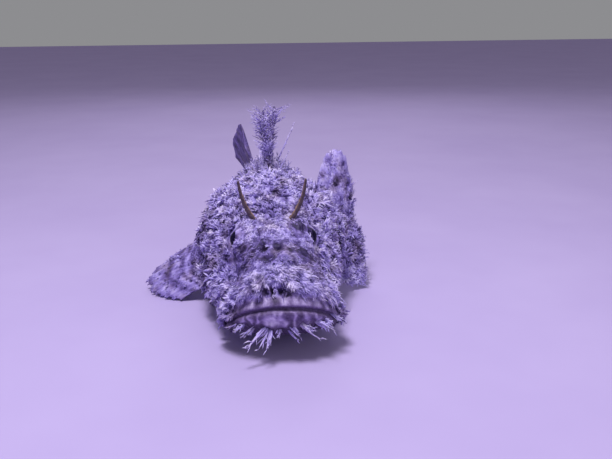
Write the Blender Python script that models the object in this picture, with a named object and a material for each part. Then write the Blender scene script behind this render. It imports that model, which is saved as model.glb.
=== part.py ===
"""Scorpionfish, life size, resting on the bottom with its head raised.

Metres, +Z up. The snout points along -Y, and +X is the fish's own left. The floor is z = 0.
The body is one lofted skin: rings round the fish, set by four side and top profiles.
It is parted at the gill cover, the tail stalk and the mouth. Fins, eyes and feelers are
trimmed back to it, with a clear gap.
"""

import math

import bmesh
import bpy
import numpy as np
from mathutils import Vector

# Driving sizes
GAP = 0.0003
MERGE = 0.000005
FLOOR_SLAB = 0.03
MOUTH_HALF_WIDTH = 0.0245
MOUTH_DEPTH = 0.022
MOUTH_HEIGHT = 0.027
MOUTH_DROP = 0.0165
MOUTH_TILT = 0.055
TAIL_START = 0.150
TAIL_END = 0.205

# Profiles as (distance from the snout, value)
BACK = (
    (0.000, 0.0310), (0.004, 0.0368), (0.008, 0.0402), (0.014, 0.0447), (0.022, 0.0495),
    (0.030, 0.0535), (0.038, 0.0572), (0.046, 0.0600), (0.054, 0.0632), (0.062, 0.0670),
    (0.070, 0.0700), (0.078, 0.0708), (0.090, 0.0698), (0.105, 0.0672), (0.120, 0.0630),
    (0.135, 0.0582), (0.150, 0.0532), (0.165, 0.0484), (0.180, 0.0445), (0.195, 0.0420),
    (0.205, 0.0412),
)
BELLY = (
    (0.000, 0.0205), (0.003, 0.0150), (0.007, 0.0122), (0.013, 0.0098), (0.022, 0.0076),
    (0.030, 0.0067), (0.040, 0.0056), (0.055, 0.0045), (0.068, 0.0018), (0.080, -0.0010),
    (0.100, -0.0012), (0.118, -0.0006), (0.130, 0.0010), (0.145, 0.0045), (0.160, 0.0092),
    (0.175, 0.0142), (0.190, 0.0186), (0.205, 0.0208),
)
HALF_WIDTH = (
    (0.022, 0.0245), (0.030, 0.0250), (0.038, 0.0258), (0.048, 0.0276), (0.058, 0.0300),
    (0.068, 0.0325), (0.078, 0.0340), (0.090, 0.0340), (0.100, 0.0330), (0.115, 0.0295),
    (0.130, 0.0246), (0.145, 0.0192), (0.160, 0.0146), (0.175, 0.0110), (0.190, 0.0082),
    (0.205, 0.0064),
)
WAIST = (
    (0.000, 0.0270), (0.008, 0.0210), (0.015, 0.0158), (0.022, 0.0108), (0.027, 0.0106),
    (0.033, 0.0128), (0.040, 0.0168), (0.050, 0.0215), (0.060, 0.0250), (0.075, 0.0290),
    (0.090, 0.0310), (0.130, 0.0312), (0.205, 0.0310),
)
# Sideways bend of the finished fish: the snout to its left, the eyes and the tail a little to its right
BEND = (
    (0.000, 0.0020), (0.012, 0.0014), (0.040, -0.0016), (0.060, -0.0012), (0.085, 0.0006),
    (0.105, 0.0004), (0.150, -0.0036), (0.205, -0.0036), (0.255, -0.0016),
)

# Cross-section: powers below 1 fill the corner, powers above 1 slope it away
SHOULDER_POWER = (
    (0.000, 1.00), (0.022, 1.00), (0.045, 1.12), (0.065, 1.20), (0.085, 1.25), (0.120, 1.20),
    (0.160, 1.05), (0.205, 0.95),
)
BELLY_POWER = 0.72
SNOUT_ROUNDING = 0.28

# Gill cover: where its free edge lies, and how far it stands over the shoulder
GILL_EDGE_SIDE = 0.084
GILL_EDGE_RISE_TOP = 0.011
GILL_EDGE_RISE_THROAT = 0.024
GILL_COVER_LIFT = 0.0018
GILL_COVER_FROM = 0.056
GILL_WARP_FROM = 0.024
GILL_WARP_TO = 0.130
GILL_CONE_TIP = 0.070
GILL_CONE_HEIGHT = 0.036
TRUNK_SETBACK = 1.6 * GAP
BODY_AXIS_HEIGHT = 0.031

# Relief of the skin: centre (distance out from the midline, along, up), radii, height
RELIEF = {
    "brow": ((0.0130, 0.0385, 0.0545), (0.0045, 0.0110, 0.0050), 0.0032),
    "orbit": ((0.0170, 0.0385, 0.0460), (0.0060, 0.0095, 0.0085), 0.0024),
    "orbit_front": ((0.0165, 0.0310, 0.0450), (0.0045, 0.0035, 0.0060), 0.0018),
    "forehead_trough": ((0.0, 0.0400, 0.0580), (0.0060, 0.0120, 0.0060), -0.0022),
    "cheek_pit": ((0.0215, 0.0290, 0.0340), (0.0060, 0.0090, 0.0070), -0.0030),
    "cheek_ridge": ((0.0260, 0.0380, 0.0250), (0.0050, 0.0150, 0.0035), 0.0024),
    "snout_knob": ((0.0, 0.0140, 0.0447), (0.0070, 0.0075, 0.0060), 0.0026),
    "snout_shoulder": ((0.0130, 0.0120, 0.0350), (0.0060, 0.0070, 0.0050), 0.0014),
    "nape_pit": ((0.0, 0.0530, 0.0630), (0.0090, 0.0060, 0.0060), -0.0022),
    "nape_ridge": ((0.0110, 0.0620, 0.0640), (0.0040, 0.0090, 0.0045), 0.0022),
    "preopercle": ((0.0300, 0.0600, 0.0200), (0.0060, 0.0060, 0.0100), 0.0020),
    "maxilla": ((0.0245, 0.0190, 0.0165), (0.0050, 0.0060, 0.0045), 0.0018),
    "shoulder_bone": ((0.0260, 0.0860, 0.0520), (0.0050, 0.0070, 0.0050), 0.0014),
    "pectoral_root": ((0.0330, 0.0900, 0.0240), (0.0100, 0.0090, 0.0140), 0.0028),
}

# Rings of the three lofts
AROUND = 36
SNOUT_RINGS = (0.10, 0.20, 0.32, 0.45, 0.58, 0.72, 0.86, 1.0)
HEAD_RINGS = (
    0.0255, 0.029, 0.032, 0.035, 0.038, 0.041, 0.044, 0.047, 0.051, 0.055, 0.060, 0.065, 0.070,
    0.075, 0.080, 0.084,
)
TRUNK_RING_STEP = 0.0055
TAIL_RING_STEP = 0.0080

# The trimmer runs on over each seam by the lap, and sinks by a share of it
ENVELOPE_LAP = 0.0010
LAP_SINK = 0.25

# Eyes and lids
EYE_CENTRE = (0.0150, 0.0390, 0.0468)
EYE_RADIUS = 0.0052
EYE_GAZE = (0.955, -0.14, 0.26)
LID_RADIUS = 0.0047
LID_REACH = 0.0024
LID_THICKNESS = 0.0013

# Lips: rolls along the edge of the mouth
LIP_OFFSET = 0.0020
LIP_RADIUS = 0.0021
LIP_STEPS = 18
LIP_SIDES = 8
LIP_END_ANGLE = 84.0

# Nostrils: a raised tube in front, with a pit in it
NOSTRIL_PLACE = (0.0075, 0.0225)
NOSTRIL_RADIUS = 0.0014
NOSTRIL_HEIGHT = 0.0016
NOSTRIL_BORE = 0.0007

# Feelers above the eyes
FEELER_ROOT = (0.0098, 0.0400, 0.0575)
FEELER_LENGTH = 0.0190
FEELER_WIDTH = 0.0024

# Skin flaps: count, least distance apart, length and width on each part of the body
FLAP_SINK = 0.0014
FLAP_THICKNESS = 0.0011
FLAP_SEED = 11
FLAP_TRIES = 60
HEAD_FLAPS = (62, 0.0052, 0.0044, 0.0033)
CHEEK_FLAP_EXTRA = 0.0024
TRUNK_FLAPS = (38, 0.0062, 0.0052, 0.0034)
TAIL_FLAPS = (9, 0.0080, 0.0042, 0.0028)

# How far the flaps of the head keep from its other forms
EYE_CLEARANCE = 0.0088
FEELER_CLEARANCE = 0.0046
NOSTRIL_CLEARANCE = 0.0038
PIT_CLEARANCE = 0.0062
GILL_CLEARANCE = 0.0062
LIP_CLEARANCE = 0.0064
LOWEST_HEAD_FLAP = 0.009
LOWEST_TRUNK_FLAP = 0.010


# Profiles and skin

def profile(table, along):
    """Monotone cubic curve through the (distance, value) pairs of a table."""
    knots, values = np.array(table).T
    steps = np.diff(knots)
    slopes = np.diff(values) / steps
    before, after = slopes[:-1], slopes[1:]
    mean = np.where(before * after > 0, 2 * before * after / (before + after + 1e-12), 0.0)
    tangents = np.concatenate([slopes[:1], mean, slopes[-1:]])
    along = np.clip(along, knots[0], knots[-1])
    i = np.clip(np.searchsorted(knots, along, side="right") - 1, 0, len(steps) - 1)
    t = (along - knots[i]) / steps[i]
    rise = values[i + 1] - values[i]
    start, end = tangents[i] * steps[i], tangents[i + 1] * steps[i]
    return values[i] + t * (start + t * (3 * rise - 2 * start - end + t * (start + end - 2 * rise)))


def smooth(t):
    t = np.clip(t, 0.0, 1.0)
    return t * t * (3 - 2 * t)


def along_of(ring):
    """Distance from the snout of a ring number. Ring 1 is at the corner of the mouth."""
    early = np.clip(ring, 0, 1) * math.pi / 2
    late = np.maximum(ring - 1, 0) * math.pi / 2
    return MOUTH_DEPTH * (1 - np.cos(early) + late)


def ring_of(along):
    """Ring number at a distance from the snout."""
    early = np.arccos(np.clip(1 - along / MOUTH_DEPTH, -1, 1)) * 2 / math.pi
    late = 1 + (along / MOUTH_DEPTH - 1) * 2 / math.pi
    return np.where(along < MOUTH_DEPTH, early, late)


def bare_skin(ring, angle):
    """Smooth body: at each ring a waisted oval, from the waist up to the back and down to the belly."""
    along = along_of(ring)
    early = np.clip(ring, 0, 1) * math.pi / 2
    width = np.where(ring < 1, MOUTH_HALF_WIDTH * np.sin(early), profile(HALF_WIDTH, along))
    waist = profile(WAIST, along)
    ease = np.sqrt(1 - (1 - np.clip(ring / SNOUT_ROUNDING, 0, 1)) ** 2)
    top = (profile(BACK, along) - waist) * ease
    bottom = (waist - profile(BELLY, along)) * ease
    side, rise = np.cos(angle), np.sin(angle)
    power = np.where(rise > 0, profile(SHOULDER_POWER, along), BELLY_POWER)
    x = width * np.sign(side) * np.abs(side) ** power
    z = waist + np.where(rise > 0, top, bottom) * rise
    return np.stack([x, along + 0 * x, z], axis=-1)


def outward(ring, angle):
    """Unit normal of the smooth body, from two small steps on it."""
    ring = np.maximum(ring, 0.03)
    step = 1e-3
    lengthwise = bare_skin(ring + step, angle) - bare_skin(ring - step, angle)
    girthwise = bare_skin(ring, angle + step) - bare_skin(ring, angle - step)
    normal = np.cross(lengthwise, girthwise)
    return normal / np.maximum(np.linalg.norm(normal, axis=-1, keepdims=True), 1e-12)


def gill_edge(angle):
    """Distance from the snout of the gill cover's free edge, round the body."""
    rise = np.sin(angle)
    return GILL_EDGE_SIDE - np.where(rise > 0, GILL_EDGE_RISE_TOP, GILL_EDGE_RISE_THROAT) * rise**2


def relief_height(point, angle):
    """How far the skin stands out of the smooth body: the sum of rounded bumps and hollows."""
    along = point[..., 1]
    place = np.stack([np.abs(point[..., 0]), along, point[..., 2]], axis=-1)
    height = np.zeros_like(along)
    for centre, radii, size in RELIEF.values():
        height += size * np.exp(-(((place - centre) / radii) ** 2).sum(axis=-1))
    covered = smooth((along - GILL_COVER_FROM) / (gill_edge(angle) - GILL_COVER_FROM))
    on_cover = (along <= gill_edge(angle) + 1e-6) * np.abs(np.cos(angle)) ** 0.7
    return height + GILL_COVER_LIFT * covered * on_cover


def skin(ring, angle, lift=0.0):
    """Point of the finished skin, lifted off it by an even amount."""
    ring, angle = np.broadcast_arrays(np.asarray(ring, float), np.asarray(angle, float))
    point = bare_skin(ring, angle)
    height = relief_height(point, angle) + lift
    return point + outward(ring, angle) * height[..., None]


def ring_points(along, lift=0.0):
    """Rings of skin points at given distances from the snout, which may vary round the body."""
    angle = np.linspace(0, 2 * math.pi, AROUND, endpoint=False)[None, :]
    along = np.asarray(along, float)
    along = along[:, None] if along.ndim == 1 else along
    return skin(ring_of(along) + 0 * angle, angle + 0 * along, lift)


# Meshes

def mesh_object(name, points, faces):
    mesh = bpy.data.meshes.new(name)
    mesh.from_pydata([tuple(p) for p in points], [], faces)
    shape = bmesh.new()
    shape.from_mesh(mesh)
    bmesh.ops.recalc_face_normals(shape, faces=shape.faces)
    shape.to_mesh(mesh)
    shape.free()
    made = bpy.data.objects.new(name, mesh)
    bpy.context.scene.collection.objects.link(made)
    return made


def loft(name, rings, first, last):
    """Closed body through rings of points, brought to a point at each end."""
    count, around = rings.shape[:2]
    points = [*rings.reshape(-1, 3), first, last]
    tip, tail = count * around, count * around + 1
    faces = []
    for r in range(count - 1):
        for s in range(around):
            n = (s + 1) % around
            faces.append((r * around + s, r * around + n, (r + 1) * around + n, (r + 1) * around + s))
    for s in range(around):
        n = (s + 1) % around
        faces.append((tip, n, s))
        faces.append((tail, (count - 1) * around + s, (count - 1) * around + n))
    return mesh_object(name, points, faces)


def limb(name, path, wide, thick, across, sides=4):
    """Tapered rod along a path: oval rings, as wide along `across` as `wide` says, closed by a point at each end."""
    path = np.asarray(path, float)
    tangent = np.gradient(path, axis=0)
    tangent /= np.linalg.norm(tangent, axis=1, keepdims=True)
    across = np.asarray(across, float)
    across = across - tangent * (tangent @ across)[:, None]
    across /= np.linalg.norm(across, axis=1, keepdims=True)
    through = np.cross(tangent, across)
    turn = (np.arange(sides) + 0.5) * 2 * math.pi / sides
    wide, thick = np.asarray(wide)[:, None, None] / 2, np.asarray(thick)[:, None, None] / 2
    stretch = 1 / math.cos(math.pi / sides)
    rings = path[:, None, :] + stretch * (
        wide * np.cos(turn)[None, :, None] * across[:, None, :]
        + thick * np.sin(turn)[None, :, None] * through[:, None, :]
    )
    return loft(name, rings[1:-1], path[0], path[-1])


def sheet(name, middle, half):
    """Closed fin: a grid of points with its own half thickness at each, split alike on both faces."""
    rows, columns = half.shape
    down = np.gradient(middle, axis=0)
    across = np.gradient(middle, axis=1)
    normal = np.cross(down, across)
    normal /= np.linalg.norm(normal, axis=-1, keepdims=True)
    front = (middle + normal * half[..., None]).reshape(-1, 3)
    back = (middle - normal * half[..., None]).reshape(-1, 3)
    size = rows * columns
    faces = []
    for r in range(rows - 1):
        for c in range(columns - 1):
            a, b = r * columns + c, r * columns + c + 1
            d, e = a + columns, b + columns
            faces += [(a, b, e), (a, e, d), (size + a, size + e, size + b), (size + a, size + d, size + e)]
    rim = [*range(columns), *((r + 1) * columns - 1 for r in range(1, rows))]
    rim += [*((rows - 1) * columns + c for c in range(columns - 2, -1, -1))]
    rim += [*(r * columns for r in range(rows - 2, 0, -1))]
    for a, b in zip(rim, rim[1:] + rim[:1]):
        faces += [(a, size + a, size + b), (a, size + b, b)]
    return mesh_object(name, [*front, *back], faces)


# Booleans

def applied(target):
    """Keeps what the modifiers make as the object's own mesh."""
    bpy.context.view_layer.update()
    graph = bpy.context.evaluated_depsgraph_get()
    mesh = bpy.data.meshes.new_from_object(target.evaluated_get(graph))
    target.modifiers.clear()
    target.data = mesh
    return target


def split_into_triangles(mesh):
    """Merges points closer than a few microns, splits the faces, and says whether the mesh is closed."""
    for merge, way in ((MERGE, "BEAUTY"), (MERGE, "EAR_CLIP"), (0.0, "BEAUTY"), (0.0, "EAR_CLIP")):
        shape = bmesh.new()
        shape.from_mesh(mesh)
        if merge:
            bmesh.ops.remove_doubles(shape, verts=shape.verts, dist=merge)
            bmesh.ops.dissolve_degenerate(shape, edges=shape.edges, dist=merge)
        bmesh.ops.triangulate(shape, faces=shape.faces, ngon_method=way)
        closed = all(len(edge.link_faces) == 2 for edge in shape.edges)
        if closed:
            shape.to_mesh(mesh)
            shape.free()
            return True
        shape.free()
    return False


def boolean(target, operation, others):
    """One Boolean on a collection of closed meshes, which are then removed."""
    holder = bpy.data.collections.new("pieces")
    bpy.context.scene.collection.children.link(holder)
    for other in others:
        bpy.context.scene.collection.objects.unlink(other)
        holder.objects.link(other)
    before = target.data.copy()
    for solver in ("EXACT", "MANIFOLD"):
        target.data = before.copy()
        modifier = target.modifiers.new(operation.lower(), "BOOLEAN")
        modifier.operation = operation
        modifier.operand_type = "COLLECTION"
        modifier.collection = holder
        modifier.solver = solver
        applied(target)
        if split_into_triangles(target.data):
            break
    for other in list(holder.objects):
        bpy.data.objects.remove(other)
    bpy.data.collections.remove(holder)
    return target


def keep_largest(target):
    """Drops all but the largest closed surface."""
    shape = bmesh.new()
    shape.from_mesh(target.data)
    left = set(shape.faces)
    parts = []
    while left:
        front, part = [left.pop()], []
        while front:
            face = front.pop()
            part.append(face)
            for edge in face.edges:
                for other in edge.link_faces:
                    if other in left:
                        left.remove(other)
                        front.append(other)
        parts.append(part)
    parts.sort(key=lambda faces: sum(face.calc_area() for face in faces))
    scraps = [face for part in parts[:-1] for face in part]
    bmesh.ops.delete(shape, geom=scraps, context="FACES")
    bmesh.ops.delete(shape, geom=[v for v in shape.verts if not v.link_faces], context="VERTS")
    shape.to_mesh(target.data)
    shape.free()
    return target


def block(centre, size, turn=None):
    """Box used as a cutter."""
    shape = bmesh.new()
    bmesh.ops.create_cube(shape, size=1.0)
    bmesh.ops.scale(shape, vec=Vector(size), verts=shape.verts)
    if turn is not None:
        bmesh.ops.rotate(shape, matrix=turn, verts=shape.verts)
    bmesh.ops.translate(shape, vec=Vector(centre), verts=shape.verts)
    mesh = bpy.data.meshes.new("block")
    shape.to_mesh(mesh)
    shape.free()
    made = bpy.data.objects.new("block", mesh)
    bpy.context.scene.collection.objects.link(made)
    return made


def floor_block():
    return block((0.0, 0.1, -FLOOR_SLAB / 2), (0.4, 0.5, FLOOR_SLAB))


def ball(name, centre, radius, around=18, rows=12, pole=(0, 0, 1)):
    shape = bmesh.new()
    bmesh.ops.create_uvsphere(shape, u_segments=around, v_segments=rows, radius=radius)
    turn = Vector(pole).to_track_quat("Z", "Y").to_matrix()
    bmesh.ops.rotate(shape, matrix=turn, verts=shape.verts)
    bmesh.ops.translate(shape, vec=Vector(centre), verts=shape.verts)
    mesh = bpy.data.meshes.new(name)
    shape.to_mesh(mesh)
    shape.free()
    made = bpy.data.objects.new(name, mesh)
    bpy.context.scene.collection.objects.link(made)
    return made


# Body

def warped(alongs, start, end, edge_shift):
    """Rings that follow the gill edge at one end and lie square at the other."""
    angle = np.linspace(0, 2 * math.pi, AROUND, endpoint=False)[None, :]
    alongs = np.asarray(alongs, float)[:, None]
    share = smooth((alongs - start) / (end - start))
    return alongs + share * (gill_edge(angle) - GILL_EDGE_SIDE + edge_shift)


def head_loft(name, lift=0.0):
    front = ring_points(along_of(np.array(SNOUT_RINGS)), lift)
    back = ring_points(warped(HEAD_RINGS, GILL_WARP_FROM, GILL_EDGE_SIDE, 0.0), lift)
    rings = np.concatenate([front, back])
    tip = skin(np.array([0.02]), np.array([0.0]), lift)[0] * (0, 1, 1)
    return loft(name, rings, tip, (0.0, GILL_CONE_TIP, GILL_CONE_HEIGHT))


def trunk_loft(name, lift=0.0, lap=0.0):
    """Shoulders and trunk. A lap runs it on over the head and the tail stalk."""
    end = TAIL_START - GAP / 2
    alongs = np.linspace(GILL_EDGE_SIDE, end, int(round((end - GILL_EDGE_SIDE) / TRUNK_RING_STEP)))
    places = warped(alongs, GILL_WARP_TO, GILL_EDGE_SIDE, TRUNK_SETBACK)
    rings = ring_points(places, lift)
    if lap:
        end += lap
        sunk = lift - LAP_SINK * lap
        first = ring_points(places[:1] - TRUNK_SETBACK - lap, sunk)
        last = ring_points(places[-1:] + lap, sunk)
        rings = np.concatenate([first, rings, last])
    cone_tip = (0.0, GILL_CONE_TIP + TRUNK_SETBACK, GILL_CONE_HEIGHT)
    return loft(name, rings, cone_tip, (0.0, end, BODY_AXIS_HEIGHT))


def tail_loft(name, lift=0.0):
    start = TAIL_START + GAP / 2
    count = int(round((TAIL_END - start) / TAIL_RING_STEP)) + 1
    rings = ring_points(np.linspace(start, TAIL_END, count), lift)
    return loft(name, rings, (0.0, start, BODY_AXIS_HEIGHT), (0.0, TAIL_END, BODY_AXIS_HEIGHT))


def envelope():
    """The whole body grown by the gap, as one closed mesh, to trim what stands on it."""
    whole = trunk_loft("grown", GAP, ENVELOPE_LAP)
    boolean(whole, "UNION", [head_loft("grown", GAP), tail_loft("grown", GAP)])
    mesh = keep_largest(whole).data
    bpy.data.objects.remove(whole)
    return mesh


def linked_copy(mesh):
    made = bpy.data.objects.new("trimmer", mesh.copy())
    bpy.context.scene.collection.objects.link(made)
    return made


def mouth_line(turn):
    """Point of the mouth's edge, at an angle round the muzzle: an ellipse on a slope."""
    out = MOUTH_HALF_WIDTH * np.sin(turn)
    back = 1 - np.cos(turn)
    return np.stack([out, MOUTH_DEPTH * back, MOUTH_HEIGHT - MOUTH_DROP * back - MOUTH_TILT * out], axis=-1)


MOUTH_UP = Vector((MOUTH_TILT, MOUTH_DROP / MOUTH_DEPTH, 1.0)).normalized()
MOUTH_NORMAL = np.array(MOUTH_UP)


def lip(name, up):
    """Rounded roll along the mouth's edge, thinner at its ends."""
    turn = np.radians(np.linspace(-LIP_END_ANGLE, LIP_END_ANGLE, LIP_STEPS))
    taper = 0.62 + 0.38 * np.cos(turn) ** 0.6
    path = mouth_line(turn) + up * LIP_OFFSET * MOUTH_NORMAL * taper[:, None]
    size = 2 * LIP_RADIUS * taper
    return limb(name, path, size, size, MOUTH_NORMAL, LIP_SIDES)


def mouth_block(above, shift):
    """Half space above or below the sloping plane of the mouth."""
    depth = 0.2
    turn = MOUTH_UP.to_track_quat("Z", "Y").to_matrix()
    centre = np.array([0.0, 0.0, MOUTH_HEIGHT]) + MOUTH_NORMAL * (shift + above * depth / 2)
    return block(centre, (depth, 2 * depth, depth), turn)


def mirrored(point, side):
    return np.array([point[0] * side, point[1], point[2]])


def lids(side):
    """Ring of lid round the eye, heavier above."""
    centre, gaze = mirrored(EYE_CENTRE, side), mirrored(EYE_GAZE, side)
    gaze = gaze / np.linalg.norm(gaze)
    over = np.cross(gaze, (0.0, 1.0, 0.0)) * side
    over = over / np.linalg.norm(over)
    fore = np.cross(gaze, over)
    steps = 16
    turn = np.arange(steps) * 2 * math.pi / steps
    rings = []
    sides = 6
    for angle in turn:
        out = math.cos(angle) * fore + math.sin(angle) * over
        heavy = LID_THICKNESS * (1.15 + 0.35 * max(0.0, out[2]))
        middle = centre + gaze * LID_REACH + out * LID_RADIUS
        wedge = np.arange(sides) * 2 * math.pi / sides
        rings.append([middle + heavy * (math.cos(w) * out + math.sin(w) * gaze) for w in wedge])
    points = np.array(rings).reshape(-1, 3)
    faces = []
    for r in range(steps):
        for s in range(sides):
            n, m = (r + 1) % steps, (s + 1) % sides
            faces.append((r * sides + s, r * sides + m, n * sides + m, n * sides + s))
    return mesh_object("lid", points, faces)


def surface_at(out, along):
    """Skin point and normal at a distance from the midline, on the upper side."""
    angle = math.pi / 2
    ring = float(ring_of(np.array(along)))
    half_width = 0.03
    for _ in range(30):
        angle += (float(skin(ring, angle)[0]) - out) / half_width
    return skin(ring, angle), outward(ring, angle)


def nostril(side):
    """Short raised tube, and the pin that bores it."""
    point, normal = surface_at(side * NOSTRIL_PLACE[0], NOSTRIL_PLACE[1])
    path = [point + normal * NOSTRIL_HEIGHT * 2 * (t - 0.5) for t in (-0.6, 0.0, 0.7, 0.95, 1.0)]
    size = [2.4 * NOSTRIL_RADIUS, 2.4 * NOSTRIL_RADIUS, 2 * NOSTRIL_RADIUS, 1.8 * NOSTRIL_RADIUS, NOSTRIL_RADIUS]
    tube = limb("nostril", path, size, size, (1.0, 0.0, 0.0), 8)
    bore = [point + normal * h for h in (0.0004, 0.0006, 0.004, 0.0042)]
    width = [2 * NOSTRIL_BORE] * len(bore)
    return tube, limb("bore", bore, width, width, (1.0, 0.0, 0.0), 6)


def flap_sites(count, spacing, start, end, keep):
    """Places on the skin at least `spacing` apart, tried in a seeded order."""
    random = np.random.default_rng(FLAP_SEED + count)
    found = []
    for _ in range(count * FLAP_TRIES):
        along, angle = random.uniform(start, end), random.uniform(0, 2 * math.pi)
        ring = float(ring_of(np.array(along)))
        point = skin(ring, angle)
        if not keep(point, angle):
            continue
        if any(np.linalg.norm(point - other[0]) < spacing for other in found):
            continue
        found.append((point, outward(ring, angle), random.uniform(0.75, 1.2), random.uniform(-0.35, 0.35)))
        if len(found) == count:
            break
    return found


def forked_flap(point, normal, lie, length, width):
    """Three flaps side by side that spread into a fork."""
    across = np.cross(normal, lie / np.linalg.norm(lie))
    made = [flap(point, normal, lie, length, width, 0.0012)]
    for turn in (-1, 1):
        side = point + across * turn * 0.42 * width + normal * 0.0002
        made.append(flap(side, normal, lie + 0.75 * turn * across, 0.72 * length, 0.75 * width, 0.0010))
    return made


def flap(point, normal, lie, length, width, thick=FLAP_THICKNESS):
    """Flat, tapered flap that rises from the skin and bends over along the lie."""
    lie = np.asarray(lie, float)
    lie = lie - normal * (lie @ normal)
    lie /= np.linalg.norm(lie)
    across = np.cross(normal, lie)
    path = [point - normal * 1.3 * FLAP_SINK, point - normal * FLAP_SINK]
    for t in (0.35, 0.72, 1.0):
        path.append(point + length * (normal * (0.85 * t - 0.38 * t * t) + lie * (0.25 * t + 0.55 * t * t)))
    wide = [0.6 * width, width, 0.95 * width, 0.6 * width, 0.1 * width]
    return limb("flap", path, wide, [thick, thick, thick, 0.8 * thick, 0.0003], across)


def lie_of(point):
    """Way the flaps lie on the head and body: back, outwards and down."""
    side = np.sign(point[0]) if abs(point[0]) > 0.002 else 0.0
    return np.array([0.55 * side, 0.75, -0.45])


def head_keeps(point, angle):
    """Flaps keep off the eyes, the feelers, the nostrils, the cheek pits, the lips and the seams."""
    out, along, up = abs(point[0]), point[1], point[2]
    place = np.array([out, along, up])
    opening = np.array(EYE_CENTRE) + (0.004, -0.001, 0.001)
    near_eye = np.linalg.norm(place - opening) < EYE_CLEARANCE
    near_feeler = np.linalg.norm(place - FEELER_ROOT) < FEELER_CLEARANCE
    near_nostril = math.hypot(out - NOSTRIL_PLACE[0], along - NOSTRIL_PLACE[1]) < NOSTRIL_CLEARANCE
    in_pit = np.linalg.norm((place - RELIEF["cheek_pit"][0]) / (1.0, 1.2, 1.0)) < PIT_CLEARANCE
    near_edge = along > gill_edge(angle) - GILL_CLEARANCE
    near_lip = (point - (0.0, 0.0, MOUTH_HEIGHT)) @ MOUTH_NORMAL < LIP_CLEARANCE
    low = up < LOWEST_HEAD_FLAP
    return not (near_eye or near_feeler or near_nostril or in_pit or near_edge or near_lip or low)


def head_flaps():
    """Flaps of the head, longer on the cheeks."""
    made = []
    count, spacing, base, width = HEAD_FLAPS
    for point, normal, size, twist in flap_sites(count, spacing, 0.001, GILL_EDGE_SIDE, head_keeps):
        cheek = smooth((abs(point[0]) - 0.018) / 0.010)
        length = (base + CHEEK_FLAP_EXTRA * cheek) * size
        lie = lie_of(point) + twist * np.cross(normal, lie_of(point))
        made.append(flap(point, normal, lie, length, width * size))
    return made


# Bony points of the head: distance from the snout, angle round the body in degrees, length
HEAD_SPINES = (
    (0.0575, -8, 0.0060), (0.0590, -28, 0.0045), (0.0610, -46, 0.0036), (0.0700, 34, 0.0045), (0.0620, 62, 0.0036),
    (0.0480, 66, 0.0030),
)


def head_spines():
    made = []
    for along, degrees, length in HEAD_SPINES:
        for side in (-1, 1):
            angle = math.radians(degrees) if side > 0 else math.pi - math.radians(degrees)
            ring = float(ring_of(np.array(along)))
            point, normal = skin(ring, angle), outward(ring, angle)
            way = 0.55 * normal + np.array([0.0, 0.84, 0.0])
            path = [point + way * length * t - normal * 0.0012 for t in (-0.45, -0.3, 0.35, 0.8, 1.0)]
            size = [0.0024, 0.0026, 0.0022, 0.0011, 0.0003]
            made.append(limb("spine", path, size, size, np.cross(normal, way), 5))
    return made


def eye_ball(name, side, radius):
    return ball(name, mirrored(EYE_CENTRE, side), radius, 16, 10, mirrored(EYE_GAZE, side))


def build_head():
    head = head_loft("head")
    extras, cuts = [lip("upper_lip", 1), *head_spines(), *head_flaps()], [mouth_block(-1, GAP / 2)]
    for side in (-1, 1):
        tube, bore = nostril(side)
        extras += [lids(side), tube]
        cuts += [eye_ball("socket", side, EYE_RADIUS + GAP), bore]
    boolean(head, "UNION", extras)
    boolean(head, "DIFFERENCE", cuts)
    return keep_largest(head)


JAW_FLAPS = (
    # degrees round the jaw, drop below the mouth, length, width, forked, sideways lean
    (-80, 0.0058, 0.0065, 0.0024, 0, -0.9),
    (-63, 0.0085, 0.0080, 0.0026, 1, -0.5),
    (-47, 0.0100, 0.0065, 0.0024, 0, -0.3),
    (-34, 0.0105, 0.0150, 0.0042, 1, -0.3),
    (-20, 0.0110, 0.0055, 0.0022, 0, -0.2),
    (5, 0.0112, 0.0055, 0.0022, 0, 0.6),
    (17, 0.0108, 0.0080, 0.0026, 1, 0.8),
    (29, 0.0104, 0.0100, 0.0028, 0, 0.9),
    (40, 0.0100, 0.0095, 0.0028, 1, 0.9),
    (53, 0.0092, 0.0085, 0.0026, 0, 1.0),
    (67, 0.0078, 0.0080, 0.0026, 1, 1.0),
    (81, 0.0058, 0.0070, 0.0024, 0, 1.1),
)
JAW_HALF_HEIGHT = 0.0125


def jaw_flaps():
    """Tassels along the lower edge of the jaw."""
    made = []
    for degrees, drop, length, width, forked, lean in JAW_FLAPS:
        turn = math.radians(degrees)
        ring = float(ring_of(np.array(max(mouth_line(np.array(turn))[1], 0.0006))))
        angle = -drop / JAW_HALF_HEIGHT if turn > 0 else math.pi + drop / JAW_HALF_HEIGHT
        point, normal = skin(ring, angle), outward(ring, angle)
        lie = np.array([lean, -0.25, -1.0])
        if forked:
            made += forked_flap(point, normal, lie, length, width)
        else:
            made.append(flap(point, normal, lie, length, width))
    return made


def build_jaw():
    jaw = head_loft("lower_jaw")
    boolean(jaw, "UNION", [lip("lower_lip", -1), *jaw_flaps()])
    boolean(jaw, "DIFFERENCE", [mouth_block(1, -GAP / 2)])
    return keep_largest(jaw)


def trunk_keeps(point, angle):
    out, along, up = abs(point[0]), point[1], point[2]
    near_fin_line = out < 0.0045 and up > 0.04
    near_edge = along < gill_edge(angle) + 0.004 or along > TAIL_START - 0.008
    behind_pectoral = 0.080 < along < 0.116 and up < 0.055
    return not (near_fin_line or near_edge or behind_pectoral or up < LOWEST_TRUNK_FLAP)


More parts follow.
